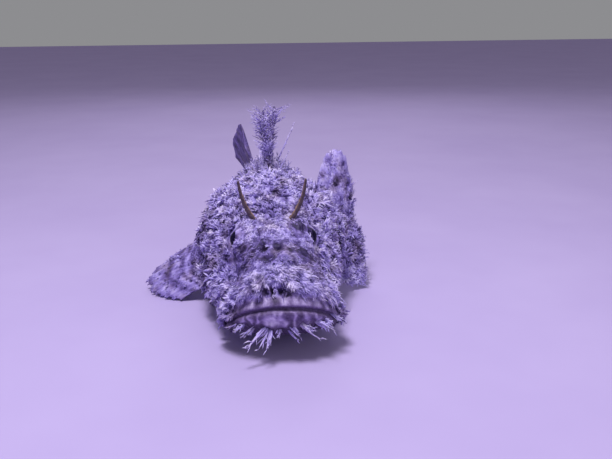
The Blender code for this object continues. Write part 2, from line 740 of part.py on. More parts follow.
def build_trunk():
    trunk = trunk_loft("trunk")
    made = []
    count, spacing, length, width = TRUNK_FLAPS
    for point, normal, size, twist in flap_sites(count, spacing, 0.062, TAIL_START, trunk_keeps):
        lie = lie_of(point) + twist * np.cross(normal, lie_of(point))
        made.append(flap(point, normal, lie, length * size, width * size))
    boolean(trunk, "UNION", made)
    boolean(trunk, "DIFFERENCE", [floor_block()])
    return keep_largest(trunk)


def tail_keeps(point, angle):
    out, along, up = abs(point[0]), point[1], point[2]
    near_fin_line = out < 0.0035 and (up < 0.02 or along < 0.172)
    return not (near_fin_line or along < TAIL_START + 0.003 or along > TAIL_END - 0.008)


def build_tail():
    tail = tail_loft("tail_stalk")
    made = []
    count, spacing, length, width = TAIL_FLAPS
    for point, normal, size, _ in flap_sites(count, spacing, TAIL_START, TAIL_END, tail_keeps):
        made.append(flap(point, normal, lie_of(point), length * size, width * size))
    boolean(tail, "UNION", made)
    return keep_largest(tail)


def build_eye(side):
    return eye_ball("eye_left" if side > 0 else "eye_right", side, EYE_RADIUS)


def build_feeler(side):
    """Horn-like feeler above the eye, leaning out and then up."""
    name = "feeler_left" if side > 0 else "feeler_right"
    root = mirrored(FEELER_ROOT, side)
    path, wide = [], []
    for t in (-0.14, -0.08, 0.0, 0.25, 0.5, 0.75, 0.93, 1.0):
        rise, lean = 0.74 * t + 0.17 * t * t, 0.52 * t - 0.21 * t * t
        path.append(root + FEELER_LENGTH * np.array([side * lean, 0.04 * t, rise]))
        wide.append(FEELER_WIDTH * (1.0 - 0.55 * max(t, 0.0) ** 1.3))
    wide[-1] = 0.0004
    feeler = limb(name, path, wide, [0.7 * w for w in wide], (1.0, 0.3, 0.0), 8)
    boolean(feeler, "DIFFERENCE", [head_loft("grown", GAP)])
    return keep_largest(feeler)


# Fins

def between(keys, t):
    """Smooth point or value between named key rays, from the first edge to the last."""
    places = np.linspace(0, 1, len(keys))
    keys = np.asarray(keys, float).reshape(len(keys), -1)
    columns = [profile(list(zip(places, column)), t) for column in keys.T]
    return np.stack(columns, axis=-1)


def fan(name, roots, bows, tips, rays, rows, root_half, tip_half, web=0.45, notch=0.06):
    """Fin of rays from a root line to a margin. Each ray is a curve through its root, bow and tip.

    Columns go by turns along a ray, which stands out on both faces, and along the web between."""
    place = np.linspace(0, 1, 2 * rays - 1)
    on_ray = 1.0 - np.arange(2 * rays - 1) % 2
    root, bow, tip = between(roots, place), between(bows, place), between(tips, place)
    reach = np.where(on_ray > 0, 1.0, 1.0 - notch)
    t = np.linspace(0, 1, rows)[:, None] * reach[None, :]
    t3 = t[..., None]
    middle = (1 - t3) ** 2 * root + 2 * t3 * (1 - t3) * bow + t3**2 * tip
    half = root_half + (tip_half - root_half) * t
    membrane = np.maximum(half * web, 0.00026)
    half = np.where(on_ray[None, :] > 0, np.maximum(half, 0.0003), membrane)
    return sheet(name, middle, half)


def trim(fin, grown, floor=False):
    """Cuts a fin back to the skin, and flat on the floor."""
    boolean(fin, "DIFFERENCE", [linked_copy(grown)])
    keep_largest(fin)
    if floor:
        boolean(fin, "DIFFERENCE", [floor_block()])
        keep_largest(fin)
    return fin


# Dorsal spines from the nape back: length above the skin, and how far each tip leans to its left
SPINY_HEIGHTS = (0.0150, 0.0270, 0.0330, 0.0315, 0.0265, 0.0220, 0.0190, 0.0168, 0.0150, 0.0136, 0.0124, 0.0115)
SPINY_LEANS = (-0.0015, -0.0042, 0.0040, -0.0016, 0.0032, -0.0010, 0.0012, 0.0, 0.0, 0.0, 0.0, 0.0)
SPINY_START = 0.0795
SPINY_END = 0.1255
SPINY_RAKE = (0.10, 0.80)
SPINY_SINK = 0.004
SPINY_ROWS = 5
SPINE_FLANK = 0.0007
SPINY_MEMBRANE_HALF = 0.00027

# Tassels of each front spine: share of the way up, length
SPINE_TASSELS = (
    ((0.82, 0.0124), (0.58, 0.0078)), ((0.82, 0.0124), (0.58, 0.0078)), ((0.82, 0.0112),), ((0.82, 0.0110),),
    ((0.82, 0.0110),),
)


def back_point(along, sink):
    point = skin(ring_of(np.array(along)), math.pi / 2)
    return point - np.array([0.0, 0.0, sink])


def spine_line(index):
    """Root and tip of one dorsal spine: the front ones stand up, the rear ones lean back."""
    share = index / (len(SPINY_HEIGHTS) - 1)
    root = back_point(SPINY_START + (SPINY_END - SPINY_START) * share, SPINY_SINK)
    rake = SPINY_RAKE[0] + (SPINY_RAKE[1] - SPINY_RAKE[0]) * share**0.7
    way = np.array([0.0, math.sin(rake), math.cos(rake)])
    return root, root + way * (SPINY_HEIGHTS[index] + SPINY_SINK) + (SPINY_LEANS[index], 0.0, 0.0)


def spiny_tassels():
    """Ragged flaps on the front spines: pairs that flare out to both sides, largest at the tips."""
    made = []
    for index, tassels in enumerate(SPINE_TASSELS):
        root, tip = spine_line(index)
        way = (tip - root) / np.linalg.norm(tip - root)
        for level, (share, size) in enumerate(tassels):
            for turn in (-1, 1):
                start = root + (tip - root) * (share + 0.03 * turn)
                reach = size * (1.0 - 0.08 * index) * (1.0 + 0.12 * turn * (1 if index % 2 else -1))
                out = np.array([0.62 * turn, 0.10 * (index % 3 - 1), 0.0])
                path = [start - out * 0.0012, start]
                path += [start + reach * (way * (0.55 * t + 0.25 * t * t) + out * t) for t in (0.5, 1.0)]
                wide = [0.0016, 0.0024 - 0.0004 * level, 0.0018, 0.0003]
                made.append(limb("tassel", path, wide, [0.0009, 0.0009, 0.0008, 0.0003], (1.0, 0.0, -1.2 * turn)))
    return made


def build_spiny_dorsal(grown):
    """Spines joined by a deeply notched membrane."""
    count = len(SPINY_HEIGHTS)
    lines = [spine_line(i) for i in range(count)]
    columns, halves = [], []
    grow = np.linspace(0, 1, SPINY_ROWS)
    for i, (root, tip) in enumerate(lines):
        if i > 0:
            before_root, before_tip = lines[i - 1]
            middle_root = (root + before_root) / 2
            middle_tip = middle_root + ((tip - root) + (before_tip - before_root)) / 2 * (0.60 if i < 5 else 0.72)
            columns.append([middle_root + (middle_tip - middle_root) * t for t in grow])
            halves.append(np.full(SPINY_ROWS, SPINY_MEMBRANE_HALF))
        back = (tip - root) * 0.93
        shift = np.array([0.0, SPINE_FLANK, 0.0])
        columns.append([root - shift + back * t for t in grow])
        columns.append([root + (tip - root) * t for t in grow])
        columns.append([root + shift + back * t for t in grow])
        halves += [np.full(SPINY_ROWS, 0.0003), 0.0011 - 0.00072 * grow, np.full(SPINY_ROWS, 0.0003)]
    fin = sheet("spiny_dorsal_fin", np.array(columns).transpose(1, 0, 2), np.array(halves).T)
    boolean(fin, "UNION", spiny_tassels())
    return trim(fin, grown)


def midline_fan(start, end, tips, sign, sink, bow):
    """Root, bow and tip keys of a fin that stands on the midline."""
    roots = []
    for along in np.linspace(start, end, len(tips)):
        angle = math.pi / 2 * sign
        point = skin(ring_of(np.array(along)), angle)
        roots.append(point - np.array([0.0, 0.0, sink * sign]))
    bows = [(np.array(r) + np.array(t)) / 2 + np.array(bow) for r, t in zip(roots, tips)]
    return roots, bows, tips


SOFT_TIPS = (
    (-0.0030, 0.1400, 0.0735), (-0.0062, 0.1500, 0.0840), (-0.0098, 0.1600, 0.0800),
    (-0.0122, 0.1700, 0.0705), (-0.0105, 0.1765, 0.0600),
)


def build_soft_dorsal(grown):
    roots, bows, tips = midline_fan(0.1320, 0.1655, SOFT_TIPS, 1, 0.0035, (0.0008, -0.0010, 0.0010))
    fin = fan("soft_dorsal_fin", roots, bows, tips, 10, 6, 0.0010, 0.0004, notch=0.07)
    return trim(fin, grown)


ANAL_TIPS = (
    (0.0008, 0.1530, 0.0014), (0.0016, 0.1620, 0.0013), (0.0024, 0.1715, 0.0018),
    (0.0024, 0.1790, 0.0048), (0.0014, 0.1835, 0.0104),
)


def build_anal(grown):
    roots, bows, tips = midline_fan(0.1380, 0.1620, ANAL_TIPS, -1, 0.0035, (0.0006, 0.0, -0.0004))
    fin = fan("anal_fin", roots, bows, tips, 8, 5, 0.0010, 0.0004)
    return trim(fin, grown)


CAUDAL_ROOT_HEIGHTS = (0.0395, 0.0355, 0.0310, 0.0265, 0.0225)
CAUDAL_TIPS = (
    (-0.0015, 0.2370, 0.0545), (0.0000, 0.2445, 0.0450), (0.0012, 0.2475, 0.0330),
    (0.0008, 0.2455, 0.0205), (-0.0010, 0.2390, 0.0110),
)


def build_caudal(grown):
    roots = [(0.0, TAIL_END - 0.003, z) for z in CAUDAL_ROOT_HEIGHTS]
    bows = [(np.array(r) + np.array(t)) / 2 + (-0.0015, 0.0, 0.0) for r, t in zip(roots, CAUDAL_TIPS)]
    fin = fan("caudal_fin", roots, bows, CAUDAL_TIPS, 13, 6, 0.0014, 0.0004, notch=0.04)
    return trim(fin, grown)


# Roots, bows and tips of the paired fins, from the top ray to the bottom one. x runs outwards.
PECTORAL_ROOTS = ((0.0305, 0.0900, 0.0380), (0.0310, 0.0890, 0.0290), (0.0300, 0.0865, 0.0195), (0.0260, 0.0815, 0.0100))
SPREAD_ROOTS = ((0.0310, 0.0900, 0.0340), (0.0310, 0.0890, 0.0260), (0.0300, 0.0865, 0.0180), (0.0260, 0.0815, 0.0100))
SPREAD_TIPS = (
    (0.0480, 0.1220, 0.0150), (0.0600, 0.1180, 0.0095), (0.0690, 0.1060, 0.0040), (0.0640, 0.0940, 0.0003),
    (0.0500, 0.0840, 0.0001),
)
RAISED_TIPS = (
    (0.0310, 0.1000, 0.0775), (0.0390, 0.1060, 0.0780), (0.0465, 0.1180, 0.0560), (0.0530, 0.1110, 0.0260),
    (0.0525, 0.0930, 0.0003),
)
SPREAD_BOW = (0.0030, 0.0010, 0.0045)
RAISED_BOWS = ((-0.0050, 0.0, 0.0), (0.0010, 0.0, 0.0010), (0.0075, 0.0, 0.0010), (0.0085, 0.0, 0.0), (0.0070, 0.0, 0.0))


def build_pectoral(side, grown):
    name = "pectoral_fin_left" if side > 0 else "pectoral_fin_right"
    tips = RAISED_TIPS if side > 0 else SPREAD_TIPS
    bow = RAISED_BOWS if side > 0 else SPREAD_BOW
    t = np.linspace(0, 1, 5)
    roots = between(PECTORAL_ROOTS if side > 0 else SPREAD_ROOTS, t) - (0.0035, 0.0, 0.0)
    bows = (roots + np.array(tips)) / 2 + np.array(bow)
    flip = np.array([side, 1.0, 1.0])
    fin = fan(name, roots * flip, bows * flip, np.array(tips) * flip, 16, 7, 0.0014, 0.0005, 0.42, 0.07)
    return trim(fin, grown, floor=True)


PELVIC_ROOTS = ((0.0150, 0.0680, 0.0062), (0.0160, 0.0720, 0.0058), (0.0170, 0.0760, 0.0054))
PELVIC_TIPS = ((0.0300, 0.0700, 0.0003), (0.0345, 0.0810, 0.0002), (0.0330, 0.0930, 0.0002))
PELVIC_BOW = (0.0030, 0.0, 0.0006)


def build_pelvic(side, grown):
    name = "pelvic_fin_left" if side > 0 else "pelvic_fin_right"
    flip = np.array([side, 1.0, 1.0])
    roots, tips = np.array(PELVIC_ROOTS), np.array(PELVIC_TIPS)
    bows = (roots + tips) / 2 + np.array(PELVIC_BOW) - (0.0, 0.0, 0.0015)
    fin = fan(name, roots * flip, bows * flip, tips * flip, 5, 6, 0.0011, 0.0005, 0.5, 0.08)
    return trim(fin, grown, floor=True)


# Finish

COLOURS = {
    "skin": (0.33, 0.29, 0.42, 1.0),
    "lip": (0.20, 0.15, 0.25, 1.0),
    "fin": (0.30, 0.26, 0.39, 1.0),
    "dark_fin": (0.10, 0.08, 0.17, 1.0),
    "feeler": (0.14, 0.09, 0.13, 1.0),
    "eye": (0.03, 0.025, 0.05, 1.0),
}
NODE_COLOURS = {
    "lower_jaw": "lip", "soft_dorsal_fin": "dark_fin", "eye_left": "eye", "eye_right": "eye",
    "feeler_left": "feeler", "feeler_right": "feeler",
}


def material_for(made):
    slot = NODE_COLOURS.get(made.name, "fin" if "fin" in made.name else "skin")
    material = bpy.data.materials.get(slot) or bpy.data.materials.new(slot)
    material.use_nodes = True
    shader = material.node_tree.nodes["Principled BSDF"]
    shader.inputs["Base Color"].default_value = COLOURS[slot]
    shader.inputs["Roughness"].default_value = 0.12 if slot == "eye" else 0.6
    made.data.materials.clear()
    made.data.materials.append(material)


def bend_and_centre(nodes):
    """Bends the fish sideways and moves it so that the middle of its box is at x = y = 0."""
    bent = []
    for made in nodes:
        points = np.empty(3 * len(made.data.vertices))
        made.data.vertices.foreach_get("co", points)
        points = points.reshape(-1, 3)
        points[:, 0] += profile(BEND, points[:, 1])
        bent.append(points)
    corners = np.concatenate(bent)
    middle = (corners.min(axis=0) + corners.max(axis=0)) / 2
    for made, points in zip(nodes, bent):
        made.data.vertices.foreach_set("co", (points - (middle[0], middle[1], 0.0)).ravel())
        made.data.update()


def main():
    for old in list(bpy.data.objects):
        bpy.data.objects.remove(old)
    nodes = [build_head(), build_jaw(), build_trunk()]
    grown = envelope()
    nodes += [build_tail(), build_spiny_dorsal(grown), build_soft_dorsal(grown)]
    nodes += [build_anal(grown), build_caudal(grown)]
    for side in (-1, 1):
        nodes += [build_eye(side), build_feeler(side)]
        nodes += [build_pectoral(side, grown), build_pelvic(side, grown)]
    bend_and_centre(nodes)
    for made in nodes:
        made.data.shade_smooth()
        made.data.set_sharp_from_angle(angle=math.radians(35))
        material_for(made)


main()
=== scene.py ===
"""Looks of a life-size scorpionfish at rest: skin, skin flaps, fins, eyes, light and camera.

Metres, +Z up. The snout points along -Y and +X is the fish's own left. Shapes are worked out in a
straight fish, whose snout is at y = 0, and to_row() bends it and brings it to its place. Along is the
distance from the snout, and a tone runs from 0, dark, to 1, pale. Tables said to be in mm hold
millimetres, and each row of places on the skin is a centre and its radii in mm, and a weight.
"""

import math
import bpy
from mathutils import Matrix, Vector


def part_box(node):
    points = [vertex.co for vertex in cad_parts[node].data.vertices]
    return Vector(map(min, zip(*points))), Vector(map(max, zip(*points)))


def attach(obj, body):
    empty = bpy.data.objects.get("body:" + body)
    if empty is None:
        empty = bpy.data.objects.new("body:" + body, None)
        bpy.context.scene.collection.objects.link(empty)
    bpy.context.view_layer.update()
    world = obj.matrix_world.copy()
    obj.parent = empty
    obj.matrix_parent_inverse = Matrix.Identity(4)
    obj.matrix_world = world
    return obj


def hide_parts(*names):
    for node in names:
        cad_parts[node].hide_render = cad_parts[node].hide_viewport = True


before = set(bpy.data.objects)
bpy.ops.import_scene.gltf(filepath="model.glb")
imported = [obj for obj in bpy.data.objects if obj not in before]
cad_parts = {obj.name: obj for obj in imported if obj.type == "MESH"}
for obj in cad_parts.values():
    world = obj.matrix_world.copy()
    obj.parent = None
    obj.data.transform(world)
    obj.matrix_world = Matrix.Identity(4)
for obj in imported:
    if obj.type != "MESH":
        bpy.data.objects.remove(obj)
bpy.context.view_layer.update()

from types import SimpleNamespace

import bpy
import numpy as np
from mathutils import Matrix, Vector

# Plane waves in one pattern of blotches
WAVES = 22
# Least height above the floor of the skin, the fins and the flaps
SKIN_LOWEST = 0.00002
FIN_LOWEST = 0.00005
FLAP_LOWEST = 0.00015


# Arrays and curves

def mm(*rows):
    """Rows of millimetres as metres."""
    return np.array(rows) / 1000


def stacked(*parts):
    """Arrays side by side in a last axis, such as the coordinates of points."""
    return np.stack(np.broadcast_arrays(*parts), axis=-1)


def grid(*axes):
    """Arrays of two parameters over their grid."""
    return np.meshgrid(*axes, indexing="ij")


def circle(count):
    """Even angles round a full turn."""
    return np.arange(count) * 2 * math.pi / count


def unit(v):
    """Vectors scaled to length 1."""
    return v / np.maximum(np.linalg.norm(v, axis=-1, keepdims=True), 1e-12)


def scaled(vector, by):
    """Vectors times a number each."""
    return vector * np.asarray(by)[..., None]


def square_to(vector, axis):
    """Unit vectors: each vector less its part along a unit axis."""
    return unit(vector - axis * (vector * axis).sum(-1, keepdims=True))


def smooth(t):
    """0 below 0, 1 above 1, and 3t^2 - 2t^3 between."""
    t = np.clip(t, 0.0, 1.0)
    return t * t * (3 - 2 * t)


def hump(offset, reach):
    """exp of minus (offset / reach) squared."""
    return np.exp(-((offset / reach) ** 2))


def bell(point, row):
    """exp of minus the squared distance from a row's centre, each axis measured in its own radius."""
    centre, radii = np.array(row[:6]).reshape(2, 3) / 1000
    return np.exp(-(((point - centre) / radii) ** 2).sum(axis=-1))


def bells(point, rows):
    """Sum of the bells of the rows, each times its weight."""
    return sum(row[6] * bell(point, row) for row in rows)


def past(value, start, over):
    """0 up to a start, then a smooth rise to 1 over a distance."""
    return smooth((value - start) / over)


def under(value, end, over):
    """0 from an end on, with a smooth rise to 1 over a distance below it."""
    return smooth((end - value) / over)


def split(point):
    """Coordinates of points: out to the fish's left, along, up."""
    return point[..., 0], point[..., 1], point[..., 2]


def waves(point, *rows):
    """Smooth blotches: for each row of weight, size and seed, a sum of plane waves of seeded directions."""
    total = 0.0
    for weight, size, seed in rows:
        random = np.random.default_rng(seed)
        ways = unit(random.normal(size=(WAVES, 3))) * 2 * math.pi / size
        ways *= random.uniform(0.7, 1.35, (WAVES, 1))
        phases = random.uniform(0, 2 * math.pi, WAVES)
        total = total + weight * math.sqrt(2 / WAVES) * np.sin(point @ ways.T + phases).sum(axis=-1)
    return total


def profile(table, along):
    """Monotone cubic curve through the (distance, value) pairs of a table, level past its ends."""
    knots, values = np.array(table).T
    steps = np.diff(knots)
    slopes = np.diff(values) / steps
    before, after = slopes[:-1], slopes[1:]
    mean = np.where(before * after > 0, 2 * before * after / (before + after + 1e-12), 0.0)
    tangents = np.concatenate([slopes[:1], mean, slopes[-1:]])
    along = np.clip(along, knots[0], knots[-1])
    i = np.clip(np.searchsorted(knots, along, side="right") - 1, 0, len(steps) - 1)
    t = (along - knots[i]) / steps[i]
    rise = values[i + 1] - values[i]
    start, end = tangents[i] * steps[i], tangents[i + 1] * steps[i]
    return values[i] + t * (start + t * (3 * rise - 2 * start - end + t * (start + end - 2 * rise)))


# Body surface: sizes that the solids have too, and outlines as along and value

MOUTH_HALF_WIDTH = 0.0245
MOUTH_DEPTH = 0.022
MOUTH_HEIGHT = 0.027
MOUTH_DROP = 0.0165
MOUTH_TILT = 0.055
MOUTH_NORMAL = unit(np.array([MOUTH_TILT, MOUTH_DROP / MOUTH_DEPTH, 1.0]))
BODY_END = 0.205
BACK = mm(
    (0, 31.0), (4, 36.8), (8, 40.2), (14, 44.7), (22, 49.5), (30, 53.5), (38, 57.2), (46, 60.0), (54, 63.2),
    (62, 67.0), (70, 70.0), (78, 70.8), (90, 69.8), (105, 67.2), (120, 63.0), (135, 58.2), (150, 53.2),
    (165, 48.4), (180, 44.5), (195, 42.0), (205, 41.2),
)
BELLY = mm(
    (0, 20.5), (3, 15.0), (7, 12.2), (13, 9.8), (22, 7.6), (30, 6.7), (40, 5.6), (55, 4.5), (68, 1.8),
    (80, -1.0), (100, -1.2), (118, -0.6), (130, 1.0), (145, 4.5), (160, 9.2), (175, 14.2), (190, 18.6),
    (205, 20.8),
)
HALF_WIDTH = mm(
    (22, 24.5), (30, 25.0), (38, 25.8), (48, 27.6), (58, 30.0), (68, 32.5), (78, 34.0), (90, 34.0),
    (100, 33.0), (115, 29.5), (130, 24.6), (145, 19.2), (160, 14.6), (175, 11.0), (190, 8.2), (205, 6.4),
)
WAIST = mm(
    (0, 27.0), (8, 21.0), (15, 15.8), (22, 10.8), (27, 10.6), (33, 12.8), (40, 16.8), (50, 21.5), (60, 25.0),
    (75, 29.0), (90, 31.0), (130, 31.2), (205, 31.0),
)
BEND = mm(
    (0, 2.0), (12, 1.4), (40, -1.6), (60, -1.2), (85, 0.6), (105, 0.4), (150, -3.6), (205, -3.6), (255, -1.6),
)
SHOULDER_POWER = (
    (0.0, 1.0), (0.022, 1.0), (0.045, 1.12), (0.065, 1.2), (0.085, 1.25), (0.12, 1.2), (0.16, 1.05),
    (0.205, 0.95),
)
BELLY_POWER = 0.72
SNOUT_ROUNDING = 0.28
GILL_EDGE_SIDE = 0.084
GILL_EDGE_RISE_TOP = 0.011
GILL_EDGE_RISE_THROAT = 0.024
GILL_COVER_LIFT = 0.0018
GILL_COVER_FROM = 0.056
EYE_CENTRE = np.array([0.0150, 0.0390, 0.0468])
EYE_RADIUS = 0.0052
SOCKET_DEPTH = 0.0022
GAZE = unit(np.array([0.955, -0.14, 0.26]))

# Bumps and hollows of both sides: a row each, its weight the height in mm
RELIEF = {
    "brow": (13.0, 38.5, 54.5, 4.5, 11.0, 5.0, 3.2),
    "orbit": (17.0, 38.5, 46.0, 6.0, 9.5, 8.5, 2.4),
    "orbit_front": (16.5, 31.0, 47.0, 4.5, 3.5, 4.0, 0.9),
    "eye_corner": (18.5, 33.0, 40.5, 5.0, 6.5, 4.2, -3.0),
    "forehead_trough": (0.0, 40.0, 58.0, 6.0, 12.0, 6.0, -2.2),
    "cheek_pit": (21.5, 29.0, 34.0, 6.0, 9.0, 7.0, -3.0),
    "cheek_ridge": (26.0, 38.0, 25.0, 5.0, 15.0, 3.5, 2.4),
    "snout_knob": (0.0, 14.0, 44.7, 7.0, 7.5, 6.0, 2.6),
    "snout_shoulder": (13.0, 12.0, 35.0, 6.0, 7.0, 5.0, 1.4),
    "nape_pit": (0.0, 53.0, 63.0, 9.0, 6.0, 6.0, -2.2),
    "nape_ridge": (11.0, 62.0, 64.0, 4.0, 9.0, 4.5, 2.2),
    "preopercle": (30.0, 60.0, 20.0, 6.0, 6.0, 10.0, 2.0),
    "maxilla": (24.5, 19.0, 16.5, 5.0, 6.0, 4.5, 1.8),
    "shoulder_bone": (26.0, 86.0, 52.0, 5.0, 7.0, 5.0, 1.4),
    "pectoral_root": (33.0, 90.0, 24.0, 10.0, 9.0, 14.0, 2.8),
}
# Pits of the forehead, above the lip and in the creases between, which stay bare
FACE_PITS = (
    (-7.4, 22.4, 48.2, 1.8, 2.2, 1.9, -4.2), (-1.6, 20.3, 48.5, 1.8, 2.2, 1.9, -4.2),
    (7.0, 21.5, 49.0, 1.6, 1.8, 1.8, -1.2), (-10.3, 4.0, 33.7, 1.2, 3.0, 1.7, -2.8),
    (-7.5, 3.0, 33.9, 1.2, 3.0, 1.8, -3.0), (-3.6, 2.3, 34.1, 2.1, 3.0, 1.8, -3.0),
    (-12.6, 23.3, 44.7, 2.2, 2.0, 1.4, -1.2), (-6.6, 16.0, 44.6, 4.2, 2.6, 1.4, -1.6),
    (-1.0, 14.0, 47.1, 3.2, 1.6, 1.6, -1.2),
)
# Bulge before the right eye
EYE_BULGE = (-18.6, 32.5, 45.0, 3.4, 4.5, 7.8, 3.6)

LIP_ROLL = 0.0019
LIP_STEEP = 0.34
JAW_LIP_SHARE = 1.25
SLIT_DEPTH = 0.0005
SLIT_HALF_WIDTH = 0.00075
# Ring where the mouth's shapes begin to fade, and over how many rings
MOUTH_FADE = (0.96, 0.16)
FOREHEAD_CENTRE = np.array([0.0, 0.0300, 0.0500])
FOREHEAD_PATCH = (0.0, 35.0, 55.0, 11.0, 12.0, 10.0)
FOREHEAD_FOLD = 0.0017
CHEEK_FOLD = 0.0014


def along_of(ring):
    """Distance from the snout: MOUTH_DEPTH (1 - cos) up to ring 1 at the mouth's corner, then even steps."""
    early = np.clip(ring, 0, 1) * math.pi / 2
    return MOUTH_DEPTH * (1 - np.cos(early) + np.maximum(ring - 1, 0) * math.pi / 2)


def ring_of(along):
    """Ring number at a distance from the snout, the inverse of along_of."""
    early = np.arccos(np.clip(1 - along / MOUTH_DEPTH, -1, 1)) * 2 / math.pi
    return np.where(along < MOUTH_DEPTH, early, 1 + (along / MOUTH_DEPTH - 1) * 2 / math.pi)


def bare_skin(ring, angle):
    """Smooth body: a waisted oval at each ring, x = width cos^power, z = waist + top or bottom times sin."""
    along = along_of(ring)
    early = np.clip(ring, 0, 1) * math.pi / 2
    width = np.where(ring < 1, MOUTH_HALF_WIDTH * np.sin(early), profile(HALF_WIDTH, along))
    waist = profile(WAIST, along)
    ease = np.sqrt(1 - (1 - np.clip(ring / SNOUT_ROUNDING, 0, 1)) ** 2)
    side, rise = np.cos(angle), np.sin(angle)
    power = np.where(rise > 0, profile(SHOULDER_POWER, along), BELLY_POWER)
    tall = np.where(rise > 0, profile(BACK, along) - waist, waist - profile(BELLY, along)) * ease
    return stacked(width * np.sign(side) * np.abs(side) ** power, along, waist + tall * rise)


def outward(ring, angle):
    """Unit normal of the smooth body: the cross product of two small steps on it."""
    ring, step = np.maximum(ring, 0.03), 1e-3
    lengthwise = bare_skin(ring + step, angle) - bare_skin(ring - step, angle)
    girthwise = bare_skin(ring, angle + step) - bare_skin(ring, angle - step)
    return unit(np.cross(lengthwise, girthwise))


def folded(point):
    """Point with x measured outwards, so that one shape serves both sides."""
    return np.concatenate([np.abs(point[..., :1]), point[..., 1:]], axis=-1)


def gill_edge(angle):
    """Distance from the snout of the gill cover's free edge: the side value less a rise times sin^2."""
    rise = np.sin(angle)
    return GILL_EDGE_SIDE - np.where(rise > 0, GILL_EDGE_RISE_TOP, GILL_EDGE_RISE_THROAT) * rise**2


def coarse_relief(point, angle):
    """Height of the main bumps and hollows, and of the gill cover, which drops at its free edge."""
    along, edge = point[..., 1], gill_edge(angle)
    cover = past(along, GILL_COVER_FROM, edge - GILL_COVER_FROM) * (1 - past(along, edge, 0.0012))
    cover = GILL_COVER_LIFT * cover * np.abs(np.cos(angle)) ** 0.7
    return bells(folded(point), RELIEF.values()) / 1000 + cover


def mouth_height(point):
    """Signed distance from the mouth's sloping plane."""
    return (point - (0.0, 0.0, MOUTH_HEIGHT)) @ MOUTH_NORMAL


def near_mouth(ring):
    """1 on the muzzle, falling to 0 behind the corner of the mouth."""
    return 1 - past(ring, *MOUTH_FADE)


def lip_relief(point, ring):
    """Two lips beside the mouth plane: each rises steeply from the slit, runs level and sinks to the face."""
    away = mouth_height(point)
    roll = LIP_ROLL * (0.55 + 0.45 * np.maximum(np.cos(np.clip(ring, 0, 1) * math.pi / 2), 0) ** 0.6)
    across = np.abs(away) / (2 * roll)
    lip = 0.62 * roll * smooth(across / LIP_STEEP) * (1 - past(across, 0.45, 0.75))
    slit = SLIT_DEPTH * hump(away, SLIT_HALF_WIDTH)
    return (lip * np.where(away < 0, JAW_LIP_SHARE, 1.0) - slit) * near_mouth(ring)


def folds(point):
    """Wrinkles as a count of folds and a share: rings round the forehead, then arcs round each eye."""
    wobble = waves(point, (0.00022, 0.006, 5))
    from_centre = np.linalg.norm((point - FOREHEAD_CENTRE) * (1.0, 0.8, 0.6), axis=-1) + wobble
    place = folded(point)
    from_eye = np.linalg.norm((place - EYE_CENTRE) * (1.0, 0.75, 1.0), axis=-1) + 0.5 * wobble
    out, along, up = split(place)
    on_cheek = under(up, EYE_CENTRE[2] + 0.004, 0.006) * under(out, 0.0195, 0.004)
    on_cheek = on_cheek * under(from_eye, 0.0190, 0.006) * past(along, 0.008, 0.004)
    on_forehead = bell(point, FOREHEAD_PATCH) * (1 - on_cheek)
    return from_centre / FOREHEAD_FOLD, on_forehead, from_eye / CHEEK_FOLD, on_cheek


def fine_relief(point, ring):
    """Pits and warty unevenness, less of it on the lips and the tail."""
    off_mouth = 1 - near_mouth(ring) * smooth(1.6 - np.abs(mouth_height(point)) / 0.0045)
    warts = waves(point, (0.00030, 0.0056, 7), (0.00026, 0.0027, 8))
    warts = warts * (0.20 + 0.80 * off_mouth) * (1 - 0.5 * past(point[..., 1], 0.14, 0.06))
    return bells(point, (*FACE_PITS, EYE_BULGE)) / 1000 + warts


def from_gaze(point):
    """Distances along the gaze of the nearer eye, and the offset from the gaze's axis."""
    offset = folded(point) - EYE_CENTRE
    forward = offset @ GAZE
    return forward, offset - scaled(GAZE, forward)


def eye_socket(point):
    """Depth of the socket inside the eyeball's outline, seen along the gaze."""
    forward, across = from_gaze(point)
    aside = np.linalg.norm(across, axis=-1)
    return SOCKET_DEPTH * under(aside, EYE_RADIUS - 0.0002, 0.0012) * (forward > -0.003)


def skin_point(ring, angle):
    """Point of the finished skin: the smooth body moved along its normal by all the reliefs."""
    base = bare_skin(ring, angle)
    height = coarse_relief(base, angle) + lip_relief(base, ring) + fine_relief(base, ring) - eye_socket(base)
    return base + scaled(outward(ring, angle), height)


SHIFT = np.mean([np.array(corner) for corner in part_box("eye_left")], axis=0) - EYE_CENTRE
SHIFT[0] -= float(profile(BEND, EYE_CENTRE[1]))


def to_row(points):
    """Straight fish to row frame: x gains the bend at its distance from the snout, then all is shifted."""
    moved = np.array(points, float)
    moved[..., 0] += profile(BEND, moved[..., 1])
    return moved + SHIFT
